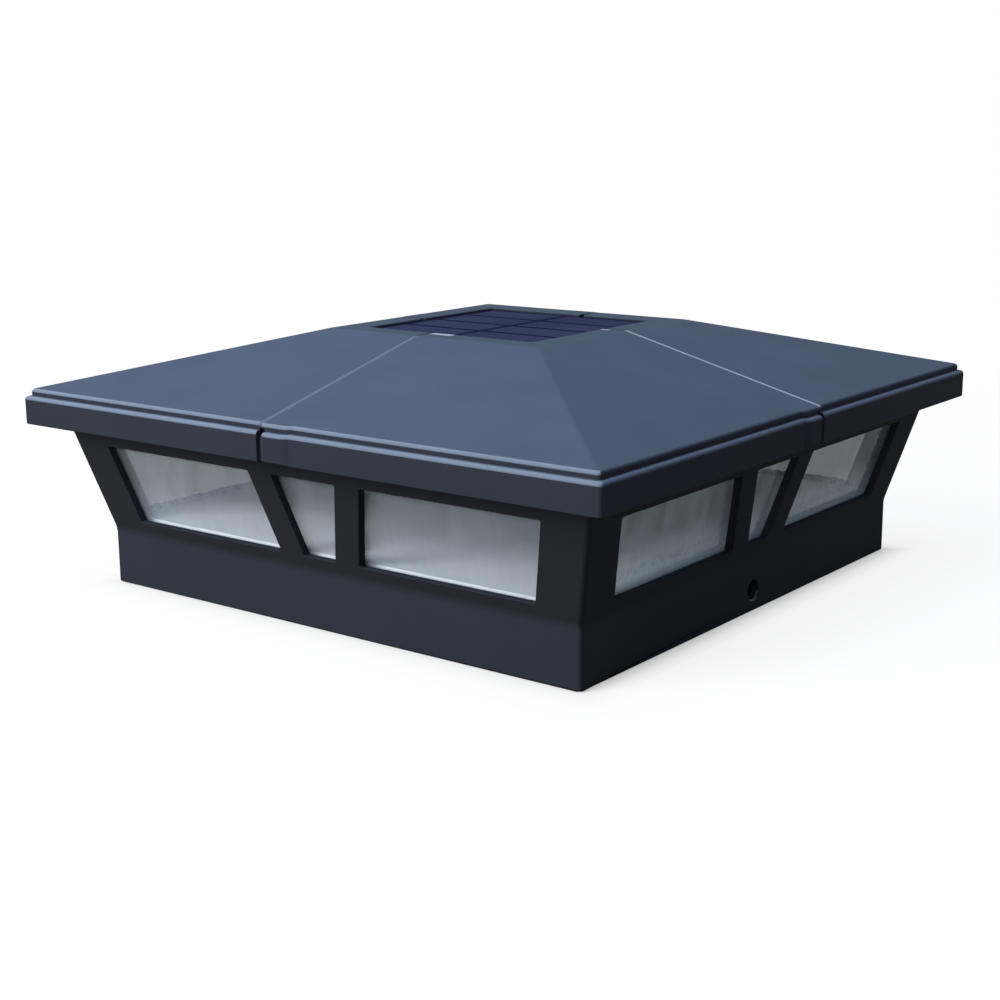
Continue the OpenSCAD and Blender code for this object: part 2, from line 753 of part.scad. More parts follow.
module module_base() {
    ear_x = barrel_place + barrel_l + door_gap;
    color("#1d1e20") difference() {
        union() {
            translate([-module_half, -module_half, base_z]) cube([module_side, module_side, module_wall]);
            at_board_posts() translate([0, 0, base_top_z - eps]) cylinder(d = 4.4, h = board_rise + eps);
            for (side = [0, 1]) mirror([side, 0, 0])
                translate([ear_x, hinge_y - hinge_ear_half, hinge_z - hinge_ear_half])
                    cube([stub_l + 1, 2 * hinge_ear_half, 2 * hinge_ear_half]);
        }
        translate([-door_l / 2, door_y0, base_z - 1]) cube([door_l, door_w, module_wall + 2]);
        for (side = [0, 1]) mirror([side, 0, 0]) {
            translate([barrel_place - door_gap, door_y1 - 1, base_z - 1])
                cube([barrel_l + 2 * door_gap, hinge_y + barrel_d / 2 + door_gap - door_y1 + 1, 6]);
            translate([ear_x - eps, hinge_y, hinge_z]) rotate([0, 90, 0])
                cylinder(r = stub_d / 2 + stub_fit, h = stub_l + door_gap);
        }
        in_corners(base_screw_place, base_screw_place)
            translate([0, 0, base_z - 1]) cylinder(d = small_screw_d + through_fit, h = module_wall + 2);
        at_board_posts() translate([0, 0, base_top_z + 0.5]) cylinder(d = small_boss_hole_d, h = board_rise);
        translate([lens_x, -board_y, base_z - 1]) cylinder(d = lens_d + 0.4, h = module_wall + 2);
        translate([switch_x - stem_w / 2 - slider_gap, -board_y - (stem_l + switch_travel) / 2 - slider_gap,
                   base_z - 1])
            cube([stem_w + 2 * slider_gap, stem_l + switch_travel + 2 * slider_gap, module_wall + 2]);
    }
}

module base_screws() {
    color("#a9adb0") in_corners(base_screw_place, base_screw_place)
        screw_up(base_z, small_boss_hole_d, module_wall + thread_l - 0.5, small_head_d, small_head_h);
}

module battery_door() {
    color("#232427") difference() {
        union() {
            translate([-door_l / 2 + door_gap, door_y0 + door_gap, base_z])
                cube([door_l - 2 * door_gap, door_w - 2 * door_gap, module_wall]);
            for (side = [0, 1]) mirror([side, 0, 0]) {
                translate([barrel_place, hinge_y, hinge_z]) rotate([0, 90, 0]) cylinder(d = barrel_d, h = barrel_l);
                translate([barrel_place, door_y1 - door_gap - eps, base_z])
                    cube([barrel_l, hinge_y - door_y1 + door_gap, module_wall]);
                translate([barrel_place + barrel_l - eps, hinge_y, hinge_z]) rotate([0, 90, 0])
                    cylinder(d = stub_d, h = stub_l);
            }
        }
        translate([0, door_y0 + door_gap, base_z - 6]) rotate([0, 90, 90])
            translate([0, 0, -eps]) cylinder(r = 6.9, h = 3.5);
    }
}

// ---------------------------------------------------------------- battery

module battery_cell() {
    color("#4d7a5c") translate([battery_start, battery_y, battery_z]) rotate([0, 90, 0]) {
        cylinder(d = battery_d, h = battery_l - nub_l);
        cylinder(d = nub_d, h = battery_l);
    }
}

module battery_plate() {
    color("#c9ccd0") {
        translate([module_in - stop_block_t - contact_t, battery_y - contact_w / 2, base_top_z + 1])
            cube([contact_t, contact_w, battery_d]);
        translate([battery_end, battery_y, battery_z]) rotate([0, 90, 0]) cylinder(d = dimple_d, h = dimple_h + eps);
    }
}

module battery_spring() {
    back = -module_in + contact_t;
    first = back + 0.3 * spring_wire_d;
    run = battery_start - spring_wire_d / 2 - first;
    steps = 14 * spring_turns;
    // The first half turn lies flat on the plate
    coil = [
        for (s = [0 : steps])
            let (turn = spring_turns * s / steps, t = s / steps, r = spring_r + (spring_tip_r - spring_r) * t)
                [first + run * max(0, turn - 0.5) / (spring_turns - 0.5),
                 battery_y + r * sin(360 * turn),
                 battery_z + r * cos(360 * turn)]
    ];
    color("#c9ccd0") {
        translate([-module_in, battery_y - contact_w / 2, base_top_z + 1])
            cube([contact_t, contact_w, battery_d]);
        tube(coil, spring_wire_d / 2);
    }
}

// ---------------------------------------------------------------- circuit board, light and switch

module circuit_board() {
    color("#2f6b45") difference() {
        translate([-board_l / 2, -board_y - board_w / 2, board_z]) cube([board_l, board_w, board_t]);
        at_board_posts() translate([0, 0, board_z - 1])
            cylinder(d = small_screw_d + through_fit, h = board_t + 2);
    }
}

module board_screws() {
    color("#a9adb0") at_board_posts() translate([0, 0, 2 * board_top_z]) mirror([0, 0, 1])
        screw_up(board_top_z, small_boss_hole_d, board_t + board_rise - 1, small_head_d, small_head_h);
}

// The driver chip, the coil and the capacitor, on top of the board
module board_components() {
    color("#222428") translate([-chip_x - chip_side / 2, -board_y - chip_side / 2, board_top_z])
        cube([chip_side, chip_side, chip_h]);
    color("#33363a") translate([coil_x, -board_y + coil_dy, board_top_z]) cylinder(d = coil_d, h = coil_h);
    color("#3a4a78") translate([coil_x, -board_y - coil_dy, board_top_z])
        cylinder(d = capacitor_d, h = capacitor_h);
}

module leds() {
    color("#f4e9b8") translate([lens_x, -board_y, board_z - led_size[2]])
        for (k = [0 : led_count - 1])
            rotate(360 * k / led_count) translate([led_ring_r - led_size[0] / 2, -led_size[1] / 2, 0])
                cube(led_size);
}

// A frosted lens: a flange on the base and a shallow dome below it
module led_lens() {
    dome_r = (pow(lens_d / 2, 2) + pow(lens_drop, 2)) / (2 * lens_drop);
    dome_angle = asin(lens_d / 2 / dome_r);
    color("#eef1f2", 0.8) translate([lens_x, -board_y, 0]) rotate_extrude()
        polygon(concat(
            [[0, base_top_z + 1], [lens_flange_r, base_top_z + 1], [lens_flange_r, base_top_z],
             [lens_d / 2, base_top_z], [lens_d / 2, base_z]],
            [for (s = [7 : -1 : 0]) [dome_r * sin(dome_angle * s / 8),
                base_z - lens_drop + dome_r * (1 - cos(dome_angle * s / 8))]]));
}

module switch_case() {
    z = board_z - case_h;
    color("#b4b7ba") translate([switch_x, -board_y, z]) difference() {
        translate([-case_w / 2, -case_l / 2, 0]) cube([case_w, case_l, case_h]);
        translate([-case_w / 2 + case_wall, -case_l / 2 + case_wall, case_wall])
            cube([case_w - 2 * case_wall, case_l - 2 * case_wall, case_h - 2 * case_wall]);
        translate([-stem_w / 2 - slider_gap, -(stem_l + switch_travel) / 2 - slider_gap, -1])
            cube([stem_w + 2 * slider_gap, stem_l + switch_travel + 2 * slider_gap, case_wall + 2]);
    }
}

// The slider at its OFF end
module switch_slider() {
    z = board_z - case_h + case_wall + slider_gap;
    color("#e8e8e6") translate([switch_x, -board_y - switch_travel / 2, 0]) {
        translate([-stem_w / 2, -stem_l / 2, base_z - stem_drop]) cube([stem_w, stem_l, z - base_z + stem_drop]);
        translate([-stem_w / 2 - 0.25, -stem_l / 2 - 0.8, z]) cube([stem_w + 0.5, stem_l + 1.6, 1]);
    }
}

// ---------------------------------------------------------------- wires

// From the solar panel down through the housing to the board
module panel_leads() {
    for (side = [-1, 1])
        color(side < 0 ? "#a32a26" : "#1c1c1e")
            tube(lead_path([side * lead_d, lead_hole_y, backing_z],
                           [side * panel_lead_end_x, lead_hole_y - panel_lead_run, board_top_z],
                           (backing_z + board_top_z) / 2), lead_d / 2);
}

// From the battery contacts over the divider to the board
module battery_leads() {
    top = base_top_z + 1 + battery_d;
    for (side = [-1, 1]) {
        contact_x = side < 0 ? lead_d / 2 + 0.2 - module_in : module_in - stop_block_t - contact_t / 2;
        color(side < 0 ? "#1c1c1e" : "#a32a26")
            tube(lead_path([contact_x, battery_y, top],
                           [side * battery_lead_end_x, battery_lead_end_dy - board_y, board_top_z],
                           seat_plate_z + 0.5), lead_d / 2);
    }
}

lantern_body();
window_pane_front_left();
window_pane_front_right();
window_pane_back_right();
window_pane_back_left();
pane_sealant();
reflector_floor();
roof_corner_front();
roof_corner_right();
roof_corner_back();
roof_corner_left();
eave_frame();
eave_screws();
module_housing();
module_screws();
panel_gasket();
solar_backing();
solar_cells();
solar_cover();
module_base();
base_screws();
circuit_board();
board_screws();
board_components();
leds();
led_lens();
switch_case();
switch_slider();
battery_cell();
battery_plate();
battery_spring();
battery_door();
panel_leads();
battery_leads();
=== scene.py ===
"""A solar cap light for a square deck post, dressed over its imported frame.

The sides are named from the corner that faces the viewer, between -Y and +X. Sizes are in
millimetres and become metres where a mesh or a lamp is made.
"""

import json
import logging
import math
from dataclasses import dataclass, field
from enum import Enum, IntEnum
from typing import Callable, Sequence

import bmesh
import bpy
from mathutils import Matrix, Vector, noise


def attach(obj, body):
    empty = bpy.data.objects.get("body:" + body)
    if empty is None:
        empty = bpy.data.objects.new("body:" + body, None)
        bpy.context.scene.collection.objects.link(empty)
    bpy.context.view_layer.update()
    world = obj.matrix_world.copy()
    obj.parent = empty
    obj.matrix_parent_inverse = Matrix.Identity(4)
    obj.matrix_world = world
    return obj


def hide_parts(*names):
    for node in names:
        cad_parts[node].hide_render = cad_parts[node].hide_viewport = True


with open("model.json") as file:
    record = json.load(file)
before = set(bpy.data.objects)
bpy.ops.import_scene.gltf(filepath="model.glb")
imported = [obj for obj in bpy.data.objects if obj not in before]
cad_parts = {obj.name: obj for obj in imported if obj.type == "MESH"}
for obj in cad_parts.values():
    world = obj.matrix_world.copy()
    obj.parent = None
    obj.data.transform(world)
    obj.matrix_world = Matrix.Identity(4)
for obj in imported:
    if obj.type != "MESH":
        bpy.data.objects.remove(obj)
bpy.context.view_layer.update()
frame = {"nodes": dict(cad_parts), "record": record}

LOG = logging.getLogger("cap_light")
MM = 0.001
# A noise texture seldom leaves this part of its range.
NOISE_LOW, NOISE_HIGH = 0.3, 0.7
# The sockets of a Mix node that mixes colours.
MIX_SHARE, MIX_FIRST, MIX_SECOND, MIX_RESULT = 0, 6, 7, 2

Point = tuple[float, float]
Ring = list[Vector]
Mesh = bmesh.types.BMesh
Tree = bpy.types.NodeTree
Node = bpy.types.Node
Socket = bpy.types.NodeSocket


# ---------------------------------------------------------------- colours and nodes


def linear(hex_colour: str) -> tuple[float, float, float, float]:
    """Turn an sRGB hex colour to linear light.

    Args:
        hex_colour: The colour as six hex digits with a leading #.

    Returns:
        Red, green, blue and an alpha of 1.
    """
    parts = [int(hex_colour[i : i + 2], 16) / 255 for i in (1, 3, 5)]
    red, green, blue = (c / 12.92 if c <= 0.04045 else ((c + 0.055) / 1.055) ** 2.4 for c in parts)
    return red, green, blue, 1.0


def per_metre(size_mm: float) -> float:
    """The texture scale that makes one feature of a pattern about size_mm wide."""
    return 1.0 / (size_mm * MM)


def add_node(tree: Tree, kind: str, inputs: dict | None = None, **settings: object) -> Node:
    """Add one node to a tree.

    Args:
        tree: The tree that takes the node.
        kind: The node's type without its first words, such as TexNoise or Background.
        inputs: Input sockets, by name or number, with the value or the output that feeds each.
        settings: The node's own settings, by name.

    Returns:
        The new node.
    """
    node = tree.nodes.new(f"ShaderNode{kind}")
    for name, value in settings.items():
        setattr(node, name, value)
    for socket, source in (inputs or {}).items():
        if isinstance(source, Socket):
            tree.links.new(source, node.inputs[socket])
        else:
            node.inputs[socket].default_value = source
    return node


def add_math(tree: Tree, operation: str, first: Socket, second: Socket | float) -> Socket:
    """The outcome of one operation on two values."""
    return add_node(tree, "Math", {0: first, 1: second}, operation=operation).outputs["Value"]


# ---------------------------------------------------------------- finishes


@dataclass(frozen=True)
class Surface:
    """A material in the making: its nodes, its shader and the place on the object, in metres."""

    tree: Tree
    shader: Node
    place: Socket

    def noise(self, scale: float, detail: float, roughness: float = 0.5, at: Socket | None = None) -> Socket:
        """Noise from 0 to 1, with a scale, finer layers and their weight, read at a place."""
        inputs = {"Vector": at or self.place, "Scale": scale, "Detail": detail, "Roughness": roughness}
        return add_node(self.tree, "TexNoise", inputs).outputs["Fac"]

    def spread(self, value: Socket, low: float, high: float) -> Socket:
        """A noise stretched to run from low to high."""
        ends = {"From Min": NOISE_LOW, "From Max": NOISE_HIGH, "To Min": low, "To Max": high}
        return add_node(self.tree, "MapRange", {"Value": value, **ends}).outputs["Result"]

    def bump(self, height: Socket, depth_mm: float, strength: float = 1.0) -> Node:
        """A bump that raises a pattern of 0 to 1 by its depth."""
        inputs = {"Height": height, "Distance": depth_mm * MM, "Strength": strength}
        return add_node(self.tree, "Bump", inputs)

    def mix(self, share: Socket, first: object, second: object) -> Socket:
        """A colour between two, each one a value or a socket."""
        inputs = {MIX_SHARE: share, MIX_FIRST: first, MIX_SECOND: second}
        return add_node(self.tree, "Mix", inputs, data_type="RGBA").outputs[MIX_RESULT]

    def axes(self, of: Socket | None = None) -> bpy.types.NodeOutputs:
        """The X, Y and Z of a place or a direction."""
        return add_node(self.tree, "SeparateXYZ", {"Vector": of or self.place}).outputs

    def set(self, name: str, source: Socket) -> None:
        """Feed one of the shader's sockets."""
        self.tree.links.new(source, self.shader.inputs[name])


@dataclass(frozen=True)
class Finish:
    """A plain finish: one colour with a fine surface grain.

    The grain is the matt texture that a mould or a coat leaves, and the mottle is the slow
    change of tone over a surface that has been handled.
    """

    name: str
    colour: str
    second_colour: str
    roughness: float
    metallic: float = 0.0
    specular: float = 0.5
    grain_mm: float = 0.6
    grain_depth_mm: float = 0.02
    mottle_mm: float = 18.0

    def material(self) -> bpy.types.Material:
        """Build the finish as a material.

        Returns:
            The new material.
        """
        material = bpy.data.materials.new(self.name)
        material.use_nodes = True
        tree = material.node_tree
        tree.nodes.clear()
        look = {"Roughness": self.roughness, "Metallic": self.metallic, "Specular IOR Level": self.specular}
        shader = add_node(tree, "BsdfPrincipled", look)
        add_node(tree, "OutputMaterial", {"Surface": shader.outputs[0]})
        self.dress(Surface(tree, shader, add_node(tree, "TexCoord").outputs["Object"]))
        return material

    def dress(self, surface: Surface) -> None:
        """Give a surface its colour and grain."""
        surface.set("Base Color", self.mottle(surface))
        self.grain(surface)

    def mottle(self, surface: Surface) -> Socket:
        """Mix the two colours in slow patches.

        Args:
            surface: The surface.

        Returns:
            The colour.
        """
        patches = surface.noise(per_metre(self.mottle_mm), 4.0, 0.55)
        ramp = add_node(surface.tree, "ValToRGB", {"Fac": patches})
        first, second = ramp.color_ramp.elements
        first.position, first.color = NOISE_LOW, linear(self.colour)
        second.position, second.color = NOISE_HIGH, linear(self.second_colour)
        return ramp.outputs["Color"]

    def grain(self, surface: Surface) -> Node:
        """Raise a fine even grain.

        Args:
            surface: The surface.

        Returns:
            The grain's bump.
        """
        pits = surface.noise(per_metre(self.grain_mm), 2.0, 0.6)
        bump = surface.bump(pits, self.grain_depth_mm)
        surface.set("Normal", bump.outputs["Normal"])
        return bump


@dataclass(frozen=True)
class PowderCoat(Finish):
    """Polyester powder coat, baked on metal: satin, with fine pimples over slow orange peel.

    Its colour is painted by the way each face looks. Faces that lean down get a painted shade near black,
    sides are charcoal, and faces that look up are a pale slate blue, part chalking by the sun and part
    painted top light and sky sheen. The last four values say where each colour lies on the turn from
    straight down, which is 0, to straight up, which is 1.
    """

    grain_mm: float = 0.5
    chalk_and_top_light: str = "#3F5064"
    underside_shade: str = "#1C1E23"
    peel_mm: float = 3.2
    peel_depth_mm: float = 0.03
    patchiness: float = 0.05
    underside_shade_at: float = 0.36
    side_at: float = 0.48
    brow_at: float = 0.6
    chalk_and_top_light_at: float = 0.94

    def mottle(self, surface: Surface) -> Socket:
        """Paint shade and top light into the coat by the way each face looks, with chalking, in slow
        patches.

        Args:
            surface: The surface.

        Returns:
            The colour.
        """
        tree = surface.tree
        up = surface.axes(add_node(tree, "TexCoord").outputs["Normal"])["Z"]
        turn = add_node(tree, "MapRange", {"Value": up, "From Min": -1.0, "From Max": 1.0})
        # The ramp paints shade on faces that lean down, and top light with chalking on faces that look up.
        ramp = add_node(tree, "ValToRGB", {"Fac": turn.outputs["Result"]})
        stops = ramp.color_ramp.elements
        stops[0].position = self.underside_shade_at
        stops[0].color = linear(self.underside_shade)
        stops[1].position = self.chalk_and_top_light_at
        stops[1].color = linear(self.chalk_and_top_light)
        stops.new(self.side_at).color = linear(self.colour)
        stops.new(self.brow_at).color = linear(self.second_colour)
        patches = surface.noise(per_metre(self.mottle_mm), 5.0, 0.6)
        tone = surface.spread(patches, 1.0 - self.patchiness, 1.0 + self.patchiness)
        coat = add_node(tree, "HueSaturation", {"Value": tone, "Color": ramp.outputs["Color"]})
        return coat.outputs["Color"]

    def grain(self, surface: Surface) -> Node:
        """Raise the pimples over the orange peel.

        Args:
            surface: The surface.

        Returns:
            The pimples' bump.
        """
        pimples = super().grain(surface)
        waves = surface.bump(surface.noise(per_metre(self.peel_mm), 1.0), self.peel_depth_mm)
        surface.tree.links.new(waves.outputs["Normal"], pimples.inputs["Normal"])
        return pimples


@dataclass(frozen=True)
class DustyGlass(Finish):
    """Float glass that has stood outdoors: clear, with a thin film of dust in upright runs.

    The film greys what lies behind it. It thickens from clear_from_mm down to sill_mm as painted light,
    standing in for the lit floor just behind the pane's foot, and changes a little from run to run.
    """

    film: float = 0.2
    film_with_painted_sill_light: float = 0.2
    film_change: float = 0.05
    run_mm: float = 2.5
    run_length_mm: float = 60.0
    sill_mm: float = 18.0
    clear_from_mm: float = 29.0

    def dress(self, surface: Surface) -> None:
        """Make the film, and leave the rest of the glass clear.

        Args:
            surface: The surface.
        """
        surface.set("Base Color", self.mottle(surface))
        across, down = per_metre(self.run_mm), per_metre(self.run_length_mm)
        runs = add_node(surface.tree, "Mapping", {"Vector": surface.place, "Scale": (across, across, down)})
        streaks = surface.noise(1.0, 3.0, at=runs.outputs["Vector"])
        # The film thickens towards the sill: painted light for the lit floor behind the pane's foot.
        film_and_sill_light = add_node(
            surface.tree,
            "MapRange",
            {
                "Value": surface.axes()["Z"],
                "From Min": self.sill_mm * MM,
                "From Max": self.clear_from_mm * MM,
                "To Min": self.film_with_painted_sill_light,
                "To Max": self.film,
            },
        )
        change = surface.spread(streaks, -self.film_change, self.film_change)
        surface.set("Alpha", add_math(surface.tree, "ADD", film_and_sill_light.outputs["Result"], change))


@dataclass(frozen=True)
class FoilSheet(Finish):
    """White-coated foil on a board, laid by hand: bright, with long soft creases.

    The creases show as faint streaks where light comes in low through the panes.
    """

    crease_mm: float = 9.0
    crease_depth_mm: float = 0.5
    crease_strength: float = 0.6

    def grain(self, surface: Surface) -> Node:
        """Raise the creases under the grain.

        Args:
            surface: The surface.

        Returns:
            The grain's bump.
        """
        bump = super().grain(surface)
        inputs = {"Vector": surface.place, "Scale": per_metre(self.crease_mm)}
        creases = add_node(surface.tree, "TexVoronoi", inputs, feature="SMOOTH_F1").outputs["Distance"]
        folds = surface.bump(creases, self.crease_depth_mm, self.crease_strength)
        surface.tree.links.new(folds.outputs["Normal"], bump.inputs["Normal"])
        return bump


@dataclass(frozen=True)
class SiliconCell(Finish):
    """A polycrystalline silicon cell: blue flakes under thin silver fingers.

    The fingers are 0.1 mm on the real cell and are drawn wider here, so that they show.
    """

    finger: str = "#4E5C82"
    finger_pitch_mm: float = 2.0
    finger_share: float = 0.05
    flake_mm: float = 3.0

    def dress(self, surface: Surface) -> None:
        """Lay the flakes and draw the fingers across them.

        Args:
            surface: The surface.
        """
        tree = surface.tree
        flakes = add_node(tree, "TexVoronoi", {"Vector": surface.place, "Scale": per_metre(self.flake_mm)})
        tone = add_node(tree, "SeparateColor", {"Color": flakes.outputs["Color"]}).outputs["Red"]
        silicon = surface.mix(tone, linear(self.colour), linear(self.second_colour))
        pitch = self.finger_pitch_mm * MM
        turns = add_math(tree, "PINGPONG", surface.axes()["X"], pitch)
        finger = add_math(tree, "LESS_THAN", turns, pitch * self.finger_share)
        surface.set("Base Color", surface.mix(finger, silicon, linear(self.finger)))


@dataclass(frozen=True)
class CastResin(Finish):
    """The resin cast over a small solar panel, with the silicon strips that show in its face.

    Seen from low down, clear resin lifts what lies in it almost to its face, so the strips and
    the dark board between them are drawn there. The gaps are 0.9 mm on the real panel and are
    drawn wider, so that they show.
    """

    board: str = "#1B1D38"
    strips_half_mm: float = 24.6
    gap_mm: float = 2.0
    edge_mm: float = 0.4
    columns: int = 2
    rows: int = 4

    def dress(self, surface: Surface) -> None:
        """Draw the strips with the board between them.

        Args:
            surface: The surface.
        """
        tree = surface.tree
        first_gap = self.strips_half_mm + self.gap_mm / 2
        near, far = (self.gap_mm - self.edge_mm) / 2, (self.gap_mm + self.edge_mm) / 2
        axes = surface.axes()
        shares = []
        for axis, count in (("X", self.columns), ("Y", self.rows)):
            pitch = (2 * self.strips_half_mm + self.gap_mm) / count
            moved = add_math(tree, "ADD", axes[axis], first_gap * MM)
            from_gap = add_math(tree, "PINGPONG", moved, pitch / 2 * MM)
            inputs = {"Value": from_gap, "From Min": near * MM, "From Max": far * MM}
            shares.append(add_node(tree, "MapRange", inputs).outputs["Result"])
        strip = add_math(tree, "MINIMUM", shares[0], shares[1])
        surface.set("Base Color", surface.mix(strip, linear(self.board), self.mottle(surface)))
        self.grain(surface)


class Coat(Enum):
    """Every finish of the light, by what it is."""

    # The body's coat and the roof's, both charcoal. Each paints a shade on faces that lean down and a paler,
    # bluer top on faces that look up, part chalking by the sun and part painted top light and sky sheen; on
    # the roof this turns the slopes slate.
    CHARCOAL = PowderCoat("charcoal_powder_coat", "#2A2D35", "#2B2F39", roughness=0.55, specular=0.006,
                          chalk_and_top_light="#303541", underside_shade="#212227")
    SLATE = PowderCoat("chalked_top_lit_powder_coat", "#2A2D35", "#2D323D", roughness=0.5, specular=0.006,
                       chalk_and_top_light="#455163")
    # Painted highlights: a pale line along a ridge or a screw hole's lower lip, a dimmer one along a ridge
    # on the less lit side, and a bright glint along the edge of a lap or by the panel.
    EDGE_HIGHLIGHT = PowderCoat("edge_highlight_powder_coat", "#424B5B", "#5C6878", roughness=0.42, specular=0.05,
                        chalk_and_top_light="#6B7688", underside_shade="#2A2E36")
    DIM_RIDGE_HIGHLIGHT = PowderCoat("dim_highlight_powder_coat", "#313743", "#3C4554", roughness=0.5, specular=0.02,
                            chalk_and_top_light="#56637A")
    GLINT = PowderCoat("painted_glint_powder_coat", "#76849A", "#8E9CB4", roughness=0.35, specular=0.1,
                       chalk_and_top_light="#808DA6", underside_shade="#4A5264")
    # A faint painted highlight on the end of a lap, the rim in a coat a little darker than the slopes, and
    # painted shade in the recess under a lap.
    LAP_HIGHLIGHT = PowderCoat("lap_highlight_powder_coat", "#2E333D", "#38404C", roughness=0.5, specular=0.006,
                          chalk_and_top_light="#586679")
    RIM_FACE = PowderCoat("rim_powder_coat", "#2A2D35", "#2D323D", roughness=0.6, specular=0.003,
                          chalk_and_top_light="#434F5E")
    RECESS = PowderCoat("recess_shade_powder_coat", "#343640", "#383A45", roughness=0.6, specular=0.003,
                        chalk_and_top_light="#3A3E4A", underside_shade="#24252B")
    # The front panes' pale film thickens towards the sill as painted light for the lit floor just inside.
    # The back panes are hazed all over, which keeps the inside grey against the white surround.
    LEFT_GLASS = DustyGlass("dusty_glass_painted_sill_light", "#CFDDEC", "#C3D1E0", roughness=0.08, film=0.1,
                            film_with_painted_sill_light=0.22, film_change=0.02)
    RIGHT_GLASS = DustyGlass("streaked_glass_painted_sill_light", "#D2E8F6", "#C6DCEA", roughness=0.08, film=0.14,
                             film_with_painted_sill_light=0.45, film_change=0.05)
    BACK_GLASS = DustyGlass("hazed_float_glass", "#A19B94", "#958F88", roughness=0.08, film=0.72,
                            film_with_painted_sill_light=0.72, film_change=0.0, run_mm=8.0)
    SILICONE = Finish("silicone_bead", "#0B0C0D", "#2A2C2E", roughness=0.6, mottle_mm=0.9, grain_mm=0.8,
                      grain_depth_mm=0.12)
    FOIL = FoilSheet("white_coated_foil", "#F3F8FC", "#EAF0F5", roughness=0.45, grain_depth_mm=0.01)
    # The solar panel: its face, and what lies under it.
    PANEL_FACE = CastResin("cast_clear_resin", "#2A3047", "#373E56", roughness=0.5, specular=0.0,
                           grain_mm=0.5, grain_depth_mm=0.01, mottle_mm=30.0)
    PANEL_BACK = Finish("epoxy_glass_board", "#0C0E20", "#101326", roughness=0.5, specular=0.0,
                        grain_mm=0.9)
    CELL = SiliconCell("polycrystalline_silicon", "#38485F", "#40506C", roughness=0.4, specular=0.0)
    # What the roof hides: moulded plastics, bright metals and the parts on the board.
    BLACK_ABS = Finish("black_moulded_abs", "#17181A", "#1C1D20", roughness=0.52, grain_mm=0.7,
                       grain_depth_mm=0.015)
    STAINLESS = Finish("stainless_steel", "#B9BABC", "#A6A8AB", roughness=0.28, metallic=1.0,
                       grain_mm=0.4, grain_depth_mm=0.004)
    FOAM = Finish("black_foam_tape", "#121314", "#1A1B1D", roughness=0.9, grain_mm=0.5,
                  grain_depth_mm=0.08)
    BOARD = Finish("green_solder_mask", "#1F5A38", "#246340", roughness=0.3, grain_mm=1.2,
                   grain_depth_mm=0.01)
    CHIP = Finish("black_moulded_epoxy", "#1B1B1D", "#242426", roughness=0.55, grain_mm=0.3,
                  grain_depth_mm=0.01)
    PHOSPHOR = Finish("yellow_phosphor", "#E9D88A", "#F1E29A", roughness=0.35, grain_mm=0.2,
                      grain_depth_mm=0.01)
    LENS = Finish("frosted_polycarbonate", "#E8ECED", "#DDE2E4", roughness=0.45, grain_mm=0.3,
                  grain_depth_mm=0.03)
    KNOB = Finish("white_nylon", "#DEDDD8", "#E6E5E0", roughness=0.5, grain_mm=0.4, grain_depth_mm=0.01)
    SHRINK_WRAP = Finish("green_shrink_wrap", "#3C7A50", "#357048", roughness=0.3, grain_mm=5.0,
                         grain_depth_mm=0.05)
    NICKEL = Finish("nickel_plate", "#C6C2B8", "#B8B4AA", roughness=0.22, metallic=1.0, grain_mm=0.5,
                    grain_depth_mm=0.004)
    RED_PVC = Finish("red_pvc", "#8E2420", "#9A2A26", roughness=0.45, grain_mm=0.6, grain_depth_mm=0.01)


@dataclass
class PaintShop:
    """Builds each finish once and hands out its material."""

    made: dict[Coat, bpy.types.Material] = field(default_factory=dict)

    def get(self, coat: Coat) -> bpy.types.Material:
        """Hand out a coat's material, and build it the first time.

        Args:
            coat: The coat.

        Returns:
            Its material.
        """
        if coat not in self.made:
            self.made[coat] = coat.value.material()
        return self.made[coat]


# ---------------------------------------------------------------- meshes

# Points nearer than this, in metres, are one, and faces that turn less than this are one face.
WELD_M = 1e-6
FLAT_DEG = 0.5
# An edge that turns more than this is shaded sharp.
SHARP_DEG = 32.0
# The pieces of a rounded corner of a section.
ARC_STEPS = 4
# How near a plane an edge has to be to count as lying in it.
TOUCH = 0.05


@dataclass
class Outline:
    """A closed section. A mark names the corner that a piece of it starts from or rounds, or is -1."""

    points: list[Point] = field(default_factory=list)
    marks: list[int] = field(default_factory=list)


def fillet(points: Sequence[Point], radii: Sequence[float]) -> Outline:
    """Round the corners of a closed outline.

    Args:
        points: The outline's corners, in millimetres.
        radii: One radius for each corner, 0 where it stays sharp.

    Returns:
        The outline, with ARC_STEPS + 1 points for each corner that has a radius.
    """
    outline = Outline()
    for i, (corner, radius) in enumerate(zip(points, radii)):
        here = Vector(corner)
        if radius == 0:
            outline.points.append(tuple(here))
            outline.marks.append(i)
            continue
        back = (Vector(points[i - 1]) - here).normalized()
        ahead = (Vector(points[(i + 1) % len(points)]) - here).normalized()
        half = back.angle(ahead) / 2
        centre = here + (back + ahead).normalized() * radius / math.sin(half)
        first = here + back * radius / math.tan(half) - centre
        last = here + ahead * radius / math.tan(half) - centre
        sweep = first.angle_signed(last)
        for s in range(ARC_STEPS + 1):
            outline.points.append(tuple(centre + Matrix.Rotation(-sweep * s / ARC_STEPS, 2) @ first))
            outline.marks.append(i if s < ARC_STEPS else -1)
    return outline


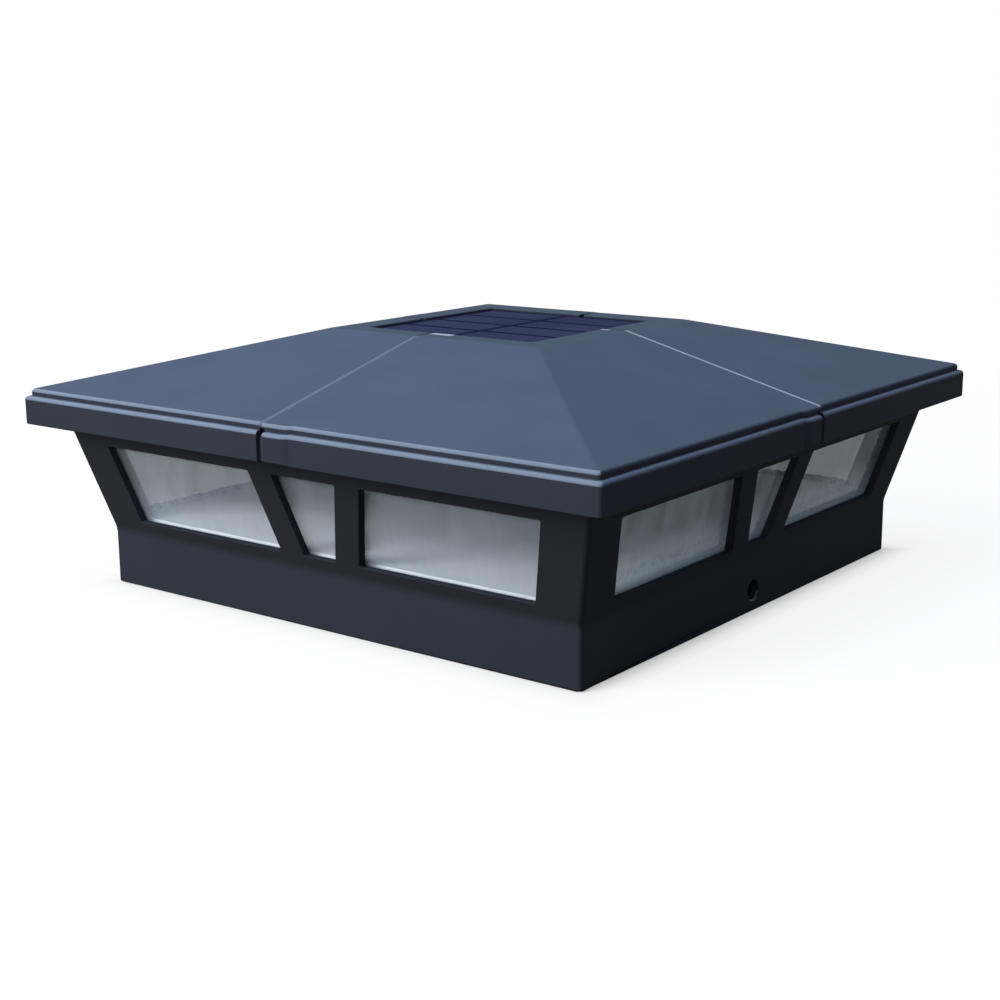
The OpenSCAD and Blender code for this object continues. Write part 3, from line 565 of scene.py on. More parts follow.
def loft(bm: Mesh, rings: Sequence[Ring], surface: Callable[[int, int], int] | None = None) -> None:
    """Join closed rings of equal length into one closed skin with flat ends.

    Args:
        bm: The mesh that takes the skin.
        rings: The rings, in order.
        surface: Gives the material slot of a face, from its ring and its place in the ring.
    """
    rows = [[bm.verts.new(point) for point in ring] for ring in rings]
    for r, (low, high) in enumerate(zip(rows, rows[1:])):
        for i in range(len(low)):
            j = (i + 1) % len(low)
            face = bm.faces.new((low[i], low[j], high[j], high[i]))
            face.material_index = surface(r, i) if surface else 0
    bm.faces.new(list(reversed(rows[0])))
    bm.faces.new(rows[-1])


def bevel_where(
    bm: Mesh,
    radius_mm: float,
    test: Callable[[Vector, Vector], bool],
    segments: int = 3,
    angle: float = 8.0,
) -> None:
    """Round the edges that a test picks.

    Args:
        bm: The mesh, in metres.
        radius_mm: The bevel's width to each side.
        test: Takes an edge's middle and its run, in millimetres, and says if it is rounded.
        segments: The pieces across the bevel.
        angle: The least angle between an edge's two faces, in degrees.
    """
    picked = []
    for edge in bm.edges:
        if len(edge.link_faces) != 2 or edge.calc_face_angle() < math.radians(angle):
            continue
        start, end = (v.co / MM for v in edge.verts)
        if test((start + end) / 2, end - start):
            picked.append(edge)
    if picked:
        bmesh.ops.bevel(
            bm,
            geom=picked,
            offset=radius_mm * MM,
            offset_type="OFFSET",
            segments=segments,
            profile=0.5,
            affect="EDGES",
            clamp_overlap=False,
        )


def add_object(name: str, data: bpy.types.ID) -> bpy.types.Object:
    """Put a mesh, a lamp or a camera in the scene.

    Args:
        name: The object's name.
        data: What it is.

    Returns:
        The object.
    """
    thing = bpy.data.objects.new(name, data)
    bpy.context.scene.collection.objects.link(thing)
    return thing


@dataclass
class Workshop:
    """Makes pieces out of meshes and fits them to the frame."""

    nodes: dict[str, bpy.types.Object]
    slots: dict[str, str]
    paint: PaintShop

    def copy_of(self, node: str) -> Mesh:
        """Copy a node's mesh, clean and with flat faces joined.

        Args:
            node: The node's name.

        Returns:
            The copy.
        """
        bm = bmesh.new()
        bm.from_mesh(self.nodes[node].data)
        bmesh.ops.remove_doubles(bm, verts=bm.verts, dist=WELD_M)
        bmesh.ops.dissolve_limit(bm, angle_limit=math.radians(FLAT_DEG), verts=bm.verts, edges=bm.edges)
        return bm

    def piece(self, name: str, bm: Mesh, body: str, coats: Sequence[Coat], node: str) -> None:
        """Turn a mesh into a piece of the light.

        Args:
            name: The piece's name.
            bm: Its mesh, which is freed.
            body: The body that it moves with.
            coats: Its finishes, by material slot.
            node: The node that it stands for.
        """
        bmesh.ops.recalc_face_normals(bm, faces=bm.faces)
        for edge in bm.edges:
            edge.smooth = len(edge.link_faces) == 2 and edge.calc_face_angle() < math.radians(SHARP_DEG)
        mesh = bpy.data.meshes.new(name)
        bm.to_mesh(mesh)
        bm.free()
        for polygon in mesh.polygons:
            polygon.use_smooth = True
        for coat in coats:
            mesh.materials.append(self.paint.get(coat))
        piece = add_object(name, mesh)
        weighted = piece.modifiers.new("face_weighted_normals", "WEIGHTED_NORMAL")
        weighted.mode = "FACE_AREA"
        weighted.weight = 100
        weighted.keep_sharp = True
        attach(piece, body)
        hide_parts(node)
        LOG.info("%s: %d faces, stands for %s", name, len(mesh.polygons), node)

    def paint_node(self, node: str, coat: Coat) -> None:
        """Give a node of the frame, which keeps its shape, its finish.

        Args:
            node: The node's name.
            coat: Its finish.
        """
        mesh = self.nodes[node].data
        mesh.materials.clear()
        mesh.materials.append(self.paint.get(coat))
        LOG.info("%s: painted %s", node, coat.value.name)


# ---------------------------------------------------------------- lantern body


@dataclass(frozen=True)
class BeadTexture:
    """How rough a hand-laid bead is: slow lumps, finer pits and a swelling round its section.

    Each has its rate, which is how fast it changes along the bead, and its share of the bead's
    size.
    """

    lump_rate: float = 0.9
    lump_share: float = 0.45
    pit_rate: float = 3.1
    pit_share: float = 0.2
    swell_rate: float = 2.3
    swell_share: float = 0.15
    tip_share: float = 0.3
    arc_steps: int = 4
    pitch: float = 0.5


@dataclass
class LanternBody:
    """The skirt, the leaning walls with their openings, and what is set in them."""

    skirt_half: float = 74.5
    skirt_h: float = 14.4
    lean: float = 14.5
    wall: float = 2.0
    sill_z: float = 17.9
    window_top_z: float = 38.0
    window_to_corner: float = 6.0
    corner_climb: float = 1.0
    hole_reach: float = 4.0
    hole_low_z: float = 1.0
    hole_high_z: float = 10.0
    lip_faces_up: float = 0.3
    pane: float = 2.0
    pane_top_z: float = 40.4
    floor_z: float = 16.4
    foil_z: float = 18.0
    foil_gap: float = 0.1
    foil_cells: int = 90
    foil_turn: float = 0.4
    foil_turn_reach: float = 7.0
    crease_h: float = 0.14
    crease_mm: float = 14.0
    ripple_mm: float = 5.0
    ripple_share: float = 0.5
    ripple_layer: float = 9.0
    foot_bead: float = 1.35
    corner_bead: float = 1.2
    smear: float = 3.2
    texture: BeadTexture = BeadTexture()
    corner_r: float = 1.1
    sill_r: float = 0.25
    rim_r: float = 0.4
    hole_r: float = 0.45

    def outer_half(self, z: float) -> float:
        """Half the body's width at height z."""
        return self.skirt_half + max(0.0, z - self.skirt_h) * math.tan(math.radians(self.lean))

    def pane_half(self, z: float) -> float:
        """Half the space between the panes' inner faces at height z."""
        return self.outer_half(z) - (self.wall + self.pane) / math.cos(math.radians(self.lean))

    def is_corner(self, middle: Vector, run: Vector) -> bool:
        """Whether an edge is one of the four outer corners or on the outer knee.

        Args:
            middle: The edge's middle.
            run: From its start to its end.

        Returns:
            True if it is.
        """
        half = self.outer_half(middle.z) - 6 * TOUCH
        on_corner = abs(middle.x) > half and abs(middle.y) > half and abs(run.z) > self.corner_climb
        on_knee = abs(middle.z - self.skirt_h) < TOUCH and max(abs(middle.x), abs(middle.y)) > half
        return on_corner or on_knee

    def is_opening(self, middle: Vector, run: Vector) -> bool:
        """Whether an edge is the outer edge of a window opening.

        Args:
            middle: The edge's middle.
            run: From its start to its end.

        Returns:
            True if it is.
        """
        half = self.outer_half(middle.z)
        outside = abs(max(abs(middle.x), abs(middle.y)) - half) < 2 * TOUCH
        in_band = self.sill_z - 4 * TOUCH < middle.z < self.window_top_z + 4 * TOUCH
        clear_of_corner = min(abs(middle.x), abs(middle.y)) < half - self.window_to_corner
        return outside and in_band and clear_of_corner

    def is_near_hole(self, point: Vector) -> bool:
        """Whether a point of the skirt's +X or -X face is close round its screw hole."""
        return abs(point.y) < self.hole_reach and self.hole_low_z < point.z < self.hole_high_z

    def is_screw_hole(self, middle: Vector, run: Vector) -> bool:
        """Whether an edge is the outer edge of a screw hole."""
        return abs(abs(middle.x) - self.skirt_half) < TOUCH and self.is_near_hole(middle)

    def is_bottom(self, middle: Vector, run: Vector) -> bool:
        """Whether an edge is on the bottom rim."""
        return abs(middle.z) < TOUCH

    def paint_hole_lip_highlights(self, bm: Mesh) -> None:
        """Paint a highlight on the lower lip of each screw hole, where it catches the light.

        Args:
            bm: The body's mesh, with its holes' edges rounded.
        """
        bm.normal_update()
        for face in bm.faces:
            middle = face.calc_center_median() / MM
            lip = self.skirt_half - self.hole_r - TOUCH < abs(middle.x) < self.skirt_half - TOUCH / 5
            if lip and self.is_near_hole(middle) and face.normal.z > self.lip_faces_up:
                face.material_index = 1

    def foil_height(self, x: float, y: float, edge: float) -> float:
        """The foil's height.

        Args:
            x: The place across.
            y: The place along.
            edge: How far it is from the nearest pane.

        Returns:
            The height, with its creases and the turn up to the pane.
        """
        ripple = noise.noise(Vector((x, y, self.ripple_layer)) / self.ripple_mm)
        crease = noise.noise(Vector((x, y, 0)) / self.crease_mm) + self.ripple_share * ripple
        rise = self.foil_turn * (math.exp(-((edge / self.foil_turn_reach) ** 2)) - 1)
        return self.foil_z - self.foil_gap + self.crease_h * crease + rise

    def foil(self) -> Mesh:
        """Make the creased sheet on the floor, turned up a little against the panes.

        Returns:
            The mesh.
        """
        bm = bmesh.new()
        half = self.pane_half(self.foil_z) - self.foil_gap
        count = self.foil_cells
        top = []
        for i in range(count + 1):
            x = half * (2 * i / count - 1)
            row = []
            for j in range(count + 1):
                y = half * (2 * j / count - 1)
                edge = half - max(abs(x), abs(y))
                row.append(bm.verts.new(Vector((x, y, self.foil_height(x, y, edge))) * MM))
            top.append(row)
        for i in range(count):
            for j in range(count):
                bm.faces.new((top[i][j], top[i + 1][j], top[i + 1][j + 1], top[i][j + 1]))
        rim = [top[i][0] for i in range(count)] + [top[count][j] for j in range(count)]
        rim += [top[i][count] for i in range(count, 0, -1)] + [top[0][j] for j in range(count, 0, -1)]
        foot = [bm.verts.new(Vector((v.co.x, v.co.y, self.floor_z * MM))) for v in rim]
        for i in range(len(rim)):
            bm.faces.new((rim[i - 1], foot[i - 1], foot[i], rim[i]))
        bm.faces.new(foot)
        return bm

    def bead(self, bm: Mesh, path: list[Vector], sides: tuple[Vector, Vector]) -> None:
        """Lay one rough bead along a path, against two faces that meet there.

        Args:
            bm: The mesh that takes the bead.
            path: The points that it follows, in millimetres.
            sides: How far it spreads along each face, as a vector.
        """
        look = self.texture
        rings = []
        for k, point in enumerate(path):
            lump = look.lump_share * noise.noise(point * look.lump_rate)
            size = 1 + lump + look.pit_share * noise.noise(point * look.pit_rate)
            if k in (0, len(path) - 1):
                size *= look.tip_share
            ring = [point * MM]
            for s in range(look.arc_steps + 1):
                turn = math.radians(90 * s / look.arc_steps)
                swell = noise.noise(point * look.swell_rate + Vector((s, s, s)))
                reach = sides[0] * math.cos(turn) + sides[1] * math.sin(turn)
                ring.append((point + reach * (size * (1 + look.swell_share * swell))) * MM)
            rings.append(ring)
        loft(bm, rings)

    def beads(self) -> Mesh:
        """Make the silicone up each inside corner and along the foot of each back pane.

        The front panes are bedded from below, and the corners seen from the front are smeared.

        Returns:
            The mesh.
        """
        bm = bmesh.new()
        low = self.pane_half(self.foil_z)
        tilt = math.radians(self.lean)
        up_pane = Vector((0, -math.sin(tilt), math.cos(tilt)))
        inward = Vector((0, 1, 0))
        pitch = self.texture.pitch
        places = [pitch * k for k in range(int(-low / pitch) + 2, int(low / pitch) - 1)]
        foot = [Vector((x, -low, self.foil_z - self.foil_gap)) for x in places]
        heights = [self.foil_z + pitch * k for k in range(int((self.pane_top_z - self.foil_z) / pitch))]
        corner = [Vector((self.pane_half(z), -self.pane_half(z), z)) for z in heights]
        small = self.corner_bead
        spreads = ((small, small), (small, self.smear), (small, small), (self.smear, small))
        for turn, (along, inside) in enumerate(spreads):
            spin = Matrix.Rotation(math.radians(90 * turn), 3, "Z")
            if turn > 1:
                sides = (spin @ inward * self.foot_bead, spin @ up_pane * self.foot_bead)
                self.bead(bm, [spin @ p for p in foot], sides)
            sides = (spin @ Vector((-along, 0, 0)), spin @ inward * inside)
            self.bead(bm, [spin @ p for p in corner], sides)
        return bm

    def build(self, shop: Workshop) -> None:
        """Build the body, its floor and its beads, and paint its panes.

        Args:
            shop: The workshop.
        """
        bm = shop.copy_of("lantern_body")
        bevel_where(bm, self.corner_r, self.is_corner, segments=4)
        bevel_where(bm, self.sill_r, self.is_opening, segments=3, angle=40)
        bevel_where(bm, self.rim_r, self.is_bottom, segments=3, angle=40)
        bevel_where(bm, self.hole_r, self.is_screw_hole, segments=2, angle=40)
        # Paint a highlight on the lower lip of each screw hole.
        self.paint_hole_lip_highlights(bm)
        # The bevels can leave a point a hair below the foot, outside the CAD box.
        for point in bm.verts:
            point.co.z = max(point.co.z, 0.0)
        shop.piece("lantern_body_coated", bm, "base", [Coat.CHARCOAL, Coat.EDGE_HIGHLIGHT], "lantern_body")
        shop.paint_node("window_pane_front_left", Coat.LEFT_GLASS)
        shop.paint_node("window_pane_front_right", Coat.RIGHT_GLASS)
        for side in ("back_left", "back_right"):
            shop.paint_node(f"window_pane_{side}", Coat.BACK_GLASS)
        shop.piece("reflector_foil", self.foil(), "base", [Coat.FOIL], "reflector_floor")
        shop.piece("silicone_beads", self.beads(), "base", [Coat.SILICONE], "pane_sealant")


# ---------------------------------------------------------------- roof


class Face(IntEnum):
    """The material slots of a roof corner: the coat, painted highlights on ridges and lap ends, a painted
    glint, the rim's coat and painted shade in the recess under a lap.
    """

    COAT = 0
    EDGE_HIGHLIGHT = 1
    GLINT = 2
    LAP = 3
    RIM = 4
    DIM_EDGE_HIGHLIGHT = 5
    RECESS = 6


class Mark(IntEnum):
    """Corners of a section: the panel's opening, the strip beside it, the rim and two ridges."""

    OPENING = 0
    STRIP = 1
    RIM = 2
    STEP = 3
    FASCIA = 5


class Stretch(Enum):
    """What a length of a wing is, between two rings."""

    PLAIN = "plain"
    LAP = "lap"
    LAP_END = "lap end"
    REAR_LAP_END = "rear lap end"
    RECESS = "recess"


@dataclass(frozen=True)
class WingLook:
    """Which painted highlights a wing gets: whether its ridges get the dim ones, and whether its rim gets a
    painted glint by the panel.
    """

    dim_ridge_highlights: bool = False
    painted_rim_glint: bool = False


Looks = tuple[WingLook, WingLook]


@dataclass
class Roof:
    """The four lapped corner pieces and what closes them from below.

    A corner piece has two wings, one along each of its sides. A section runs across a wing from
    the panel's opening over the rim, down the slope and the step, and down the fascia.
    """

    half: float = 89.5
    eave_z: float = 43.0
    fascia_h: float = 7.3
    step_inset: float = 1.3
    step_rise: float = 1.7
    slope: float = 14.4
    rim_half: float = 33.6
    opening_half: float = 26.5
    wall: float = 2.0
    plan_r: float = 0.9
    opening_r: float = 0.45
    hip_r: float = 1.6
    step_r: float = 0.85
    ledge_r: float = 0.2
    fascia_r: float = 0.9
    foot_r: float = 0.3
    lap_reach: float = 5.0
    lap_gap: float = 0.1
    lap_out: float = 0.75
    lap_drop: float = 0.08
    lap_rise: float = 0.05
    lap_lift: float = 0.4
    lap_edge: float = 1.3
    rear_edge: float = 1.1
    brow_drop: float = 0.1
    brow_tail: float = 0.05
    riser_tail: float = 0.1
    riser_cut: float = 2.4
    fascia_cut: float = 2.7
    rim_cut: float = 1.4
    strip: float = 2.8
    joggle_start: float = 3.0
    joggle_end: float = 4.95
    seam: float = 0.01
    boss_r: float = 3.0
    pilot_r: float = 1.25
    boss_sides: int = 24
    # The place, bottom and top of each boss: two at the eave, one at the rim.
    bosses: tuple[tuple[float, float, float, float], ...] = (
        (30.0, -70.0, 46.8, 55.6),
        (70.0, -30.0, 46.8, 55.6),
        (34.0, -34.0, 59.82, 64.4),
    )

    def outer_line(self, inset: float, lift: float = 0.0) -> list[Point]:
        """The section of the roof's surface from the panel opening to the eave.

        Args:
            inset: How far it lies under the outer surface.
            lift: How far it stops above the eave.

        Returns:
            Points as distance from the middle and height.
        """
        tilt = math.radians(self.slope)
        step_half = self.half - self.step_inset
        ledge_z = self.eave_z + self.fascia_h
        step_z = ledge_z + self.step_rise
        rim_z = step_z + (step_half - self.rim_half) * math.tan(tilt)
        drop = inset * (1 - math.sin(tilt)) / math.cos(tilt)
        return [
            (self.opening_half, rim_z - inset),
            (self.opening_half + self.strip, rim_z - inset),
            (self.rim_half - inset * math.tan(tilt / 2), rim_z - inset),
            (step_half - inset, step_z - drop),
            (step_half - inset, ledge_z - inset),
            (self.half - inset, ledge_z - inset),
            (self.half - inset, self.eave_z + lift),
        ]

    def lap_line(self, rise: float) -> list[Point]:
        """The section of a lap's face, which stands out over the eave and a little over the slope.

        Args:
            rise: How far it stands over the slope and the rim.

        Returns:
            Points as distance from the middle and height.
        """
        rim, strip, hip, step, ledge, fascia, foot = self.outer_line(0.0)
        return [
            (rim[0], rim[1] + rise),
            (strip[0], strip[1] + rise),
            (hip[0], hip[1] + rise),
            (step[0] + self.lap_out, step[1] + rise - self.brow_drop),
            (ledge[0] + self.lap_out, ledge[1] - self.lap_drop),
            (fascia[0] + self.lap_out, fascia[1] - self.lap_drop),
            (foot[0] + self.lap_out, foot[1] + self.lap_lift),
        ]

    def section(self, outer: list[Point], inner: list[Point]) -> Outline:
        """Close a section with its rounded ridges.

        Args:
            outer: Its outer line. One that stops short of the eave keeps a sharp last corner.
            inner: Its inner line.

        Returns:
            The section.
        """
        ridges = [self.opening_r, 0.0, self.hip_r, self.step_r, self.ledge_r, self.fascia_r]
        radii = ridges[: len(outer) - 1] + [self.foot_r if len(outer) > len(ridges) else 0.0]
        return fillet(outer + inner[::-1], radii + [0.0] * len(inner))

    def wing_ring(self, section: Outline, x: float, rim_cut: float = 0.0) -> Ring:
        """Lay a section across the front left side.

        Args:
            section: The section.
            x: Where it lies along the side.
            rim_cut: How far further along it lies at the panel's edge, running out over the rim.

        Returns:
            The ring, in metres.
        """
        width = self.rim_half - self.opening_half
        shares = [min(1.0, max(0.0, (self.rim_half - d) / width)) for d, _ in section.points]
        return [Vector((x + rim_cut * s, -d, z)) * MM for s, (d, z) in zip(shares, section.points)]

    def corner_rings(self, section: Outline) -> list[Ring]:
        """Carry a section round the corner between the front sides, on a small plan radius.

        Args:
            section: The section.

        Returns:
            The rings, from the left side to the right one.
        """
        rings = []
        for s in range(ARC_STEPS + 1):
            turn = math.radians(-90 + 90 * s / ARC_STEPS)
            across, along = self.plan_r * math.cos(turn), self.plan_r * math.sin(turn)
            rings.append([Vector((d - self.plan_r + across, self.plan_r - d + along, z)) * MM
                          for d, z in section.points])
        return rings

    @staticmethod
    def mirrored(rings: list[Ring]) -> list[Ring]:
        """The same rings on the other wing of a corner piece, in running order."""
        return [[Vector((-p.y, -p.x, p.z)) for p in ring] for ring in reversed(rings)]

    @staticmethod
    def faces_of(section: Outline, spans: Sequence[tuple[Stretch, WingLook]]) -> Callable[[int, int], int]:
        """Choose each face's finish, with its painted highlight or shade, from where it lies.

        Args:
            section: The section that the rings were laid from.
            spans: What each length between two rings is, and which painted highlights it gets.

        Returns:
            A function of the ring and the place in the ring.
        """
        corners = (Mark.OPENING, Mark.STRIP, Mark.RIM, Mark.STEP)
        opening, strip, slope, ridge = (section.marks.index(corner) for corner in corners)

        def choose(ring: int, place: int) -> int:
            """Choose one face's finish.

            Args:
                ring: The ring that it starts from.
                place: Its place in the ring.

            Returns:
                Its material slot.
            """
            mark = section.marks[place]
            stretch, look = spans[ring]
            # Painted shade in the recess under a lap, everywhere but on its slope.
            if stretch is Stretch.RECESS:
                return Face.COAT if slope + ARC_STEPS <= place < ridge else Face.RECESS
            # A painted glint along the end of a rear lap.
            if stretch is Stretch.REAR_LAP_END and slope <= place <= ridge:
                return Face.GLINT
            # A faint painted highlight along the end of a front lap.
            if stretch is Stretch.LAP_END and slope <= place < ridge + ARC_STEPS:
                return Face.LAP
            # Painted highlights along the fascia's and the step's ridges: dimmer on a wing on the less lit
            # side, and none on its step.
            if mark == Mark.FASCIA:
                return Face.DIM_EDGE_HIGHLIGHT if look.dim_ridge_highlights else Face.EDGE_HIGHLIGHT
            if mark == Mark.STEP:
                return Face.COAT if look.dim_ridge_highlights else Face.EDGE_HIGHLIGHT
            # A painted glint on the strip of rim beside the panel, where a lap lies.
            if opening <= place < strip and look.painted_rim_glint and stretch is not Stretch.PLAIN:
                return Face.GLINT
            return Face.RIM if opening <= place < slope else Face.COAT

        return choose

    def add_bosses(self, bm: Mesh) -> None:
        """Add the bored screw bosses that hang under a corner piece.

        Args:
            bm: The mesh that takes them.
        """
        turns = [math.tau * k / self.boss_sides for k in range(self.boss_sides)]
        for x, y, low, high in self.bosses:
            rows = []
            for r, z in ((self.pilot_r, high), (self.pilot_r, low), (self.boss_r, low), (self.boss_r, high)):
                ring = [Vector((x + r * math.cos(t), y + r * math.sin(t), z)) * MM for t in turns]
                rows.append([bm.verts.new(point) for point in ring])
            for a, b in zip(rows, rows[1:] + rows[:1]):
                for i in range(self.boss_sides):
                    bm.faces.new((a[i], a[i - 1], b[i - 1], b[i]))

    def over_piece(self, looks: Looks) -> Mesh:
        """Make the corner piece whose wings lap over their neighbours.

        Args:
            looks: Which painted highlights each wing gets.

        Returns:
            The mesh.
        """
        bm = bmesh.new()
        mid = self.wall / 2
        lap = self.section(self.lap_line(self.lap_rise), self.outer_line(mid, self.lap_lift))
        plain_half = self.section(self.outer_line(0.0), self.outer_line(mid))
        plain = self.section(self.outer_line(0.0), self.outer_line(self.wall))
        wing = [
            self.wing_ring(lap, self.fascia_cut - self.lap_reach),
            self.wing_ring(lap, self.joggle_start),
            self.wing_ring(plain_half, self.joggle_end),
            self.wing_ring(plain_half, self.lap_reach),
            self.wing_ring(plain, self.lap_reach + self.seam),
        ]
        corner = self.corner_rings(plain)
        rings = wing + corner + self.mirrored(wing)
        plain_left = len(wing) + len(corner) // 2
        spans = [(Stretch.LAP, looks[0])] + [(Stretch.PLAIN, looks[0])] * plain_left
        spans += [(Stretch.PLAIN, looks[1])] * (len(rings) - 1 - len(spans))
        loft(bm, rings, self.faces_of(plain, spans))
        self.add_lap_ends(bm, looks)
        self.add_bosses(bm)
        return bm

    def add_lap_ends(self, bm: Mesh, looks: Looks) -> None:
        """Add what goes on past the fascia at a lap's end: first the riser, then the slope alone.

        Args:
            bm: The mesh that takes it.
            looks: Which painted highlights each wing gets.
        """
        mid = self.outer_line(self.wall / 2)
        top = self.lap_line(self.lap_rise)
        flush = self.lap_line(0.0)
        start = -self.lap_reach
        out, fascia_z = top[Mark.FASCIA]
        low = fascia_z - self.fascia_r - self.riser_tail
        to_fascia = slice(Mark.FASCIA + 1)
        riser = self.section(top[to_fascia] + [(out, low)], mid[to_fascia] + [(mid[Mark.FASCIA][0], low)])
        riser_wing = [self.wing_ring(riser, start + cut) for cut in (self.riser_cut, self.fascia_cut)]
        loft(bm, riser_wing, self.faces_of(riser, [(Stretch.LAP, looks[0])]))
        loft(bm, self.mirrored(riser_wing), self.faces_of(riser, [(Stretch.LAP, looks[1])]))
        to_step = slice(Mark.STEP + 1)
        tail = self.step_r + self.brow_tail
        brow, edge = (
            self.section(line[to_step] + [(line[Mark.STEP][0], line[Mark.STEP][1] - tail)], mid[to_step])
            for line in (top, flush)
        )
        front_wing, rear_wing = (
            [
                self.wing_ring(edge, start, self.rim_cut),
                self.wing_ring(brow, start + width, self.rim_cut / 2),
                self.wing_ring(brow, start + self.riser_cut),
            ]
            for width in (self.lap_edge, self.rear_edge)
        )
        front_spans = [(Stretch.LAP_END, looks[0]), (Stretch.LAP, looks[0])]
        rear_spans = [(Stretch.LAP, looks[1]), (Stretch.REAR_LAP_END, looks[1])]
        loft(bm, front_wing, self.faces_of(brow, front_spans))
        loft(bm, self.mirrored(rear_wing), self.faces_of(brow, rear_spans))

    def under_piece(self, looks: Looks) -> Mesh:
        """Make the corner piece whose wings carry their neighbours' laps on a ledge.

        Args:
            looks: Which painted highlights each wing gets.

        Returns:
            The mesh.
        """
        bm = bmesh.new()
        shoulder = self.lap_reach + self.lap_gap
        ledge = self.section(self.outer_line(self.wall / 2), self.outer_line(self.wall))
        plain = self.section(self.outer_line(0.0), self.outer_line(self.wall))
        wing = [
            self.wing_ring(ledge, self.lap_gap - self.lap_reach),
            self.wing_ring(ledge, shoulder),
            self.wing_ring(plain, shoulder + 2 * self.seam),
        ]
        corner = self.corner_rings(plain)
        recess = [(Stretch.RECESS, looks[0])] * 2
        spans = recess + [(Stretch.PLAIN, looks[0])] * 3 + [(Stretch.PLAIN, looks[1])] * 3 + recess
        loft(bm, wing + corner + self.mirrored(wing), self.faces_of(plain, spans))
        self.add_bosses(bm)
        return bm

    def build(self, shop: Workshop) -> None:
        """Build the four corner pieces and paint the frame and its screws.

        Args:
            shop: The workshop.
        """
        # Which wings get full painted ridge highlights, which the dim ones, and which a painted glint on the
        # rim by the panel.
        highlit, dim_lit = WingLook(), WingLook(dim_ridge_highlights=True)
        front = (WingLook(painted_rim_glint=True), WingLook(dim_ridge_highlights=True, painted_rim_glint=True))
        pieces = (
            ("front", 0, self.over_piece, front),
            ("right", 90, self.under_piece, (dim_lit, dim_lit)),
            ("back", 180, self.over_piece, (dim_lit, highlit)),
            ("left", 270, self.under_piece, (highlit, highlit)),
        )
        # In the order of Face.
        coats = [Coat.SLATE, Coat.EDGE_HIGHLIGHT, Coat.GLINT, Coat.LAP_HIGHLIGHT, Coat.RIM_FACE, Coat.DIM_RIDGE_HIGHLIGHT,
                 Coat.RECESS]
        for side, turn, make, looks in pieces:
            bm = make(looks)
            bm.transform(Matrix.Rotation(math.radians(turn), 4, "Z"))
            shop.piece(f"roof_corner_{side}_coated", bm, "roof", coats, f"roof_corner_{side}")
        shop.paint_node("eave_frame", Coat.CHARCOAL)
        shop.paint_node("eave_screws", Coat.STAINLESS)


# ---------------------------------------------------------------- solar module


@dataclass
class SolarModule:
    """The panel under the rim and the box with the battery, board and lamp below it."""

    opening_half: float = 26.45
    cover_low_z: float = 64.62
    cover_z: float = 65.42
    cover_r: float = 0.5
    edge_fall: float = 0.5
    edge_steps: int = 5

    def cover(self) -> Mesh:
        """Make the resin on the panel, with its edge drawn down a little.

        Returns:
            The mesh.
        """
        levels = [(self.opening_half, self.cover_low_z)]
        for k in range(self.edge_steps + 1):
            turn = math.radians(90 * k / self.edge_steps)
            inset = self.cover_r * (1 - math.cos(turn))
            fall = self.cover_r * self.edge_fall * (1 - math.sin(turn))
            levels.append((self.opening_half - inset, self.cover_z - fall))
        corners = ((-1, -1), (1, -1), (1, 1), (-1, 1))
        bm = bmesh.new()
        loft(bm, [[Vector((reach * a, reach * b, z)) * MM for a, b in corners] for reach, z in levels])
        return bm

    def build(self, shop: Workshop) -> None:
        """Build the cover, and paint the panel, the housing and what they hold.

        Args:
            shop: The workshop.
        """
        shop.piece("panel_resin", self.cover(), "roof", [Coat.PANEL_FACE], "solar_cover")
        coats = {
            Coat.CELL: ("solar_cells",),
            Coat.PANEL_BACK: ("solar_backing",),
            Coat.FOAM: ("panel_gasket",),
            Coat.BLACK_ABS: ("module_housing", "module_base", "battery_door"),
            Coat.STAINLESS: ("module_screws", "base_screws", "board_screws", "switch_case"),
            Coat.BOARD: ("circuit_board",),
            Coat.CHIP: ("board_components",),
            Coat.PHOSPHOR: ("leds",),
            Coat.LENS: ("led_lens",),
            Coat.KNOB: ("switch_slider",),
            Coat.SHRINK_WRAP: ("battery_cell",),
            Coat.NICKEL: ("battery_plate", "battery_spring"),
            Coat.RED_PVC: ("panel_leads", "battery_leads"),
        }
        for coat, nodes in coats.items():
            for node in nodes:
                shop.paint_node(node, coat)


# ---------------------------------------------------------------- studio


def towards(azimuth: float, elevation: float) -> Vector:
    """The direction out to an azimuth and elevation in degrees, from -Y towards +X."""
    turn, rise = math.radians(azimuth), math.radians(elevation)
    return Vector((math.sin(turn) * math.cos(rise), -math.cos(turn) * math.cos(rise), math.sin(rise)))


@dataclass
class Lamp:
    """A square soft lamp that points at the light's middle."""

    name: str
    azimuth: float
    elevation: float
    side: float
    watts: float
    colour: str = "#FFFFFF"
    distance: float = 900.0
    aim_z: float = 30.0

    def build(self) -> None:
        """Hang the lamp."""
        away = towards(self.azimuth, self.elevation)
        data = bpy.data.lights.new(self.name, "AREA")
        data.shape = "SQUARE"
        data.size = self.side * MM
        data.energy = self.watts
        data.color = linear(self.colour)[:3]
        lamp = add_object(self.name, data)
        lamp.location = away * self.distance * MM + Vector((0, 0, self.aim_z * MM))
        lamp.rotation_euler = away.to_track_quat("Z", "Y").to_euler()


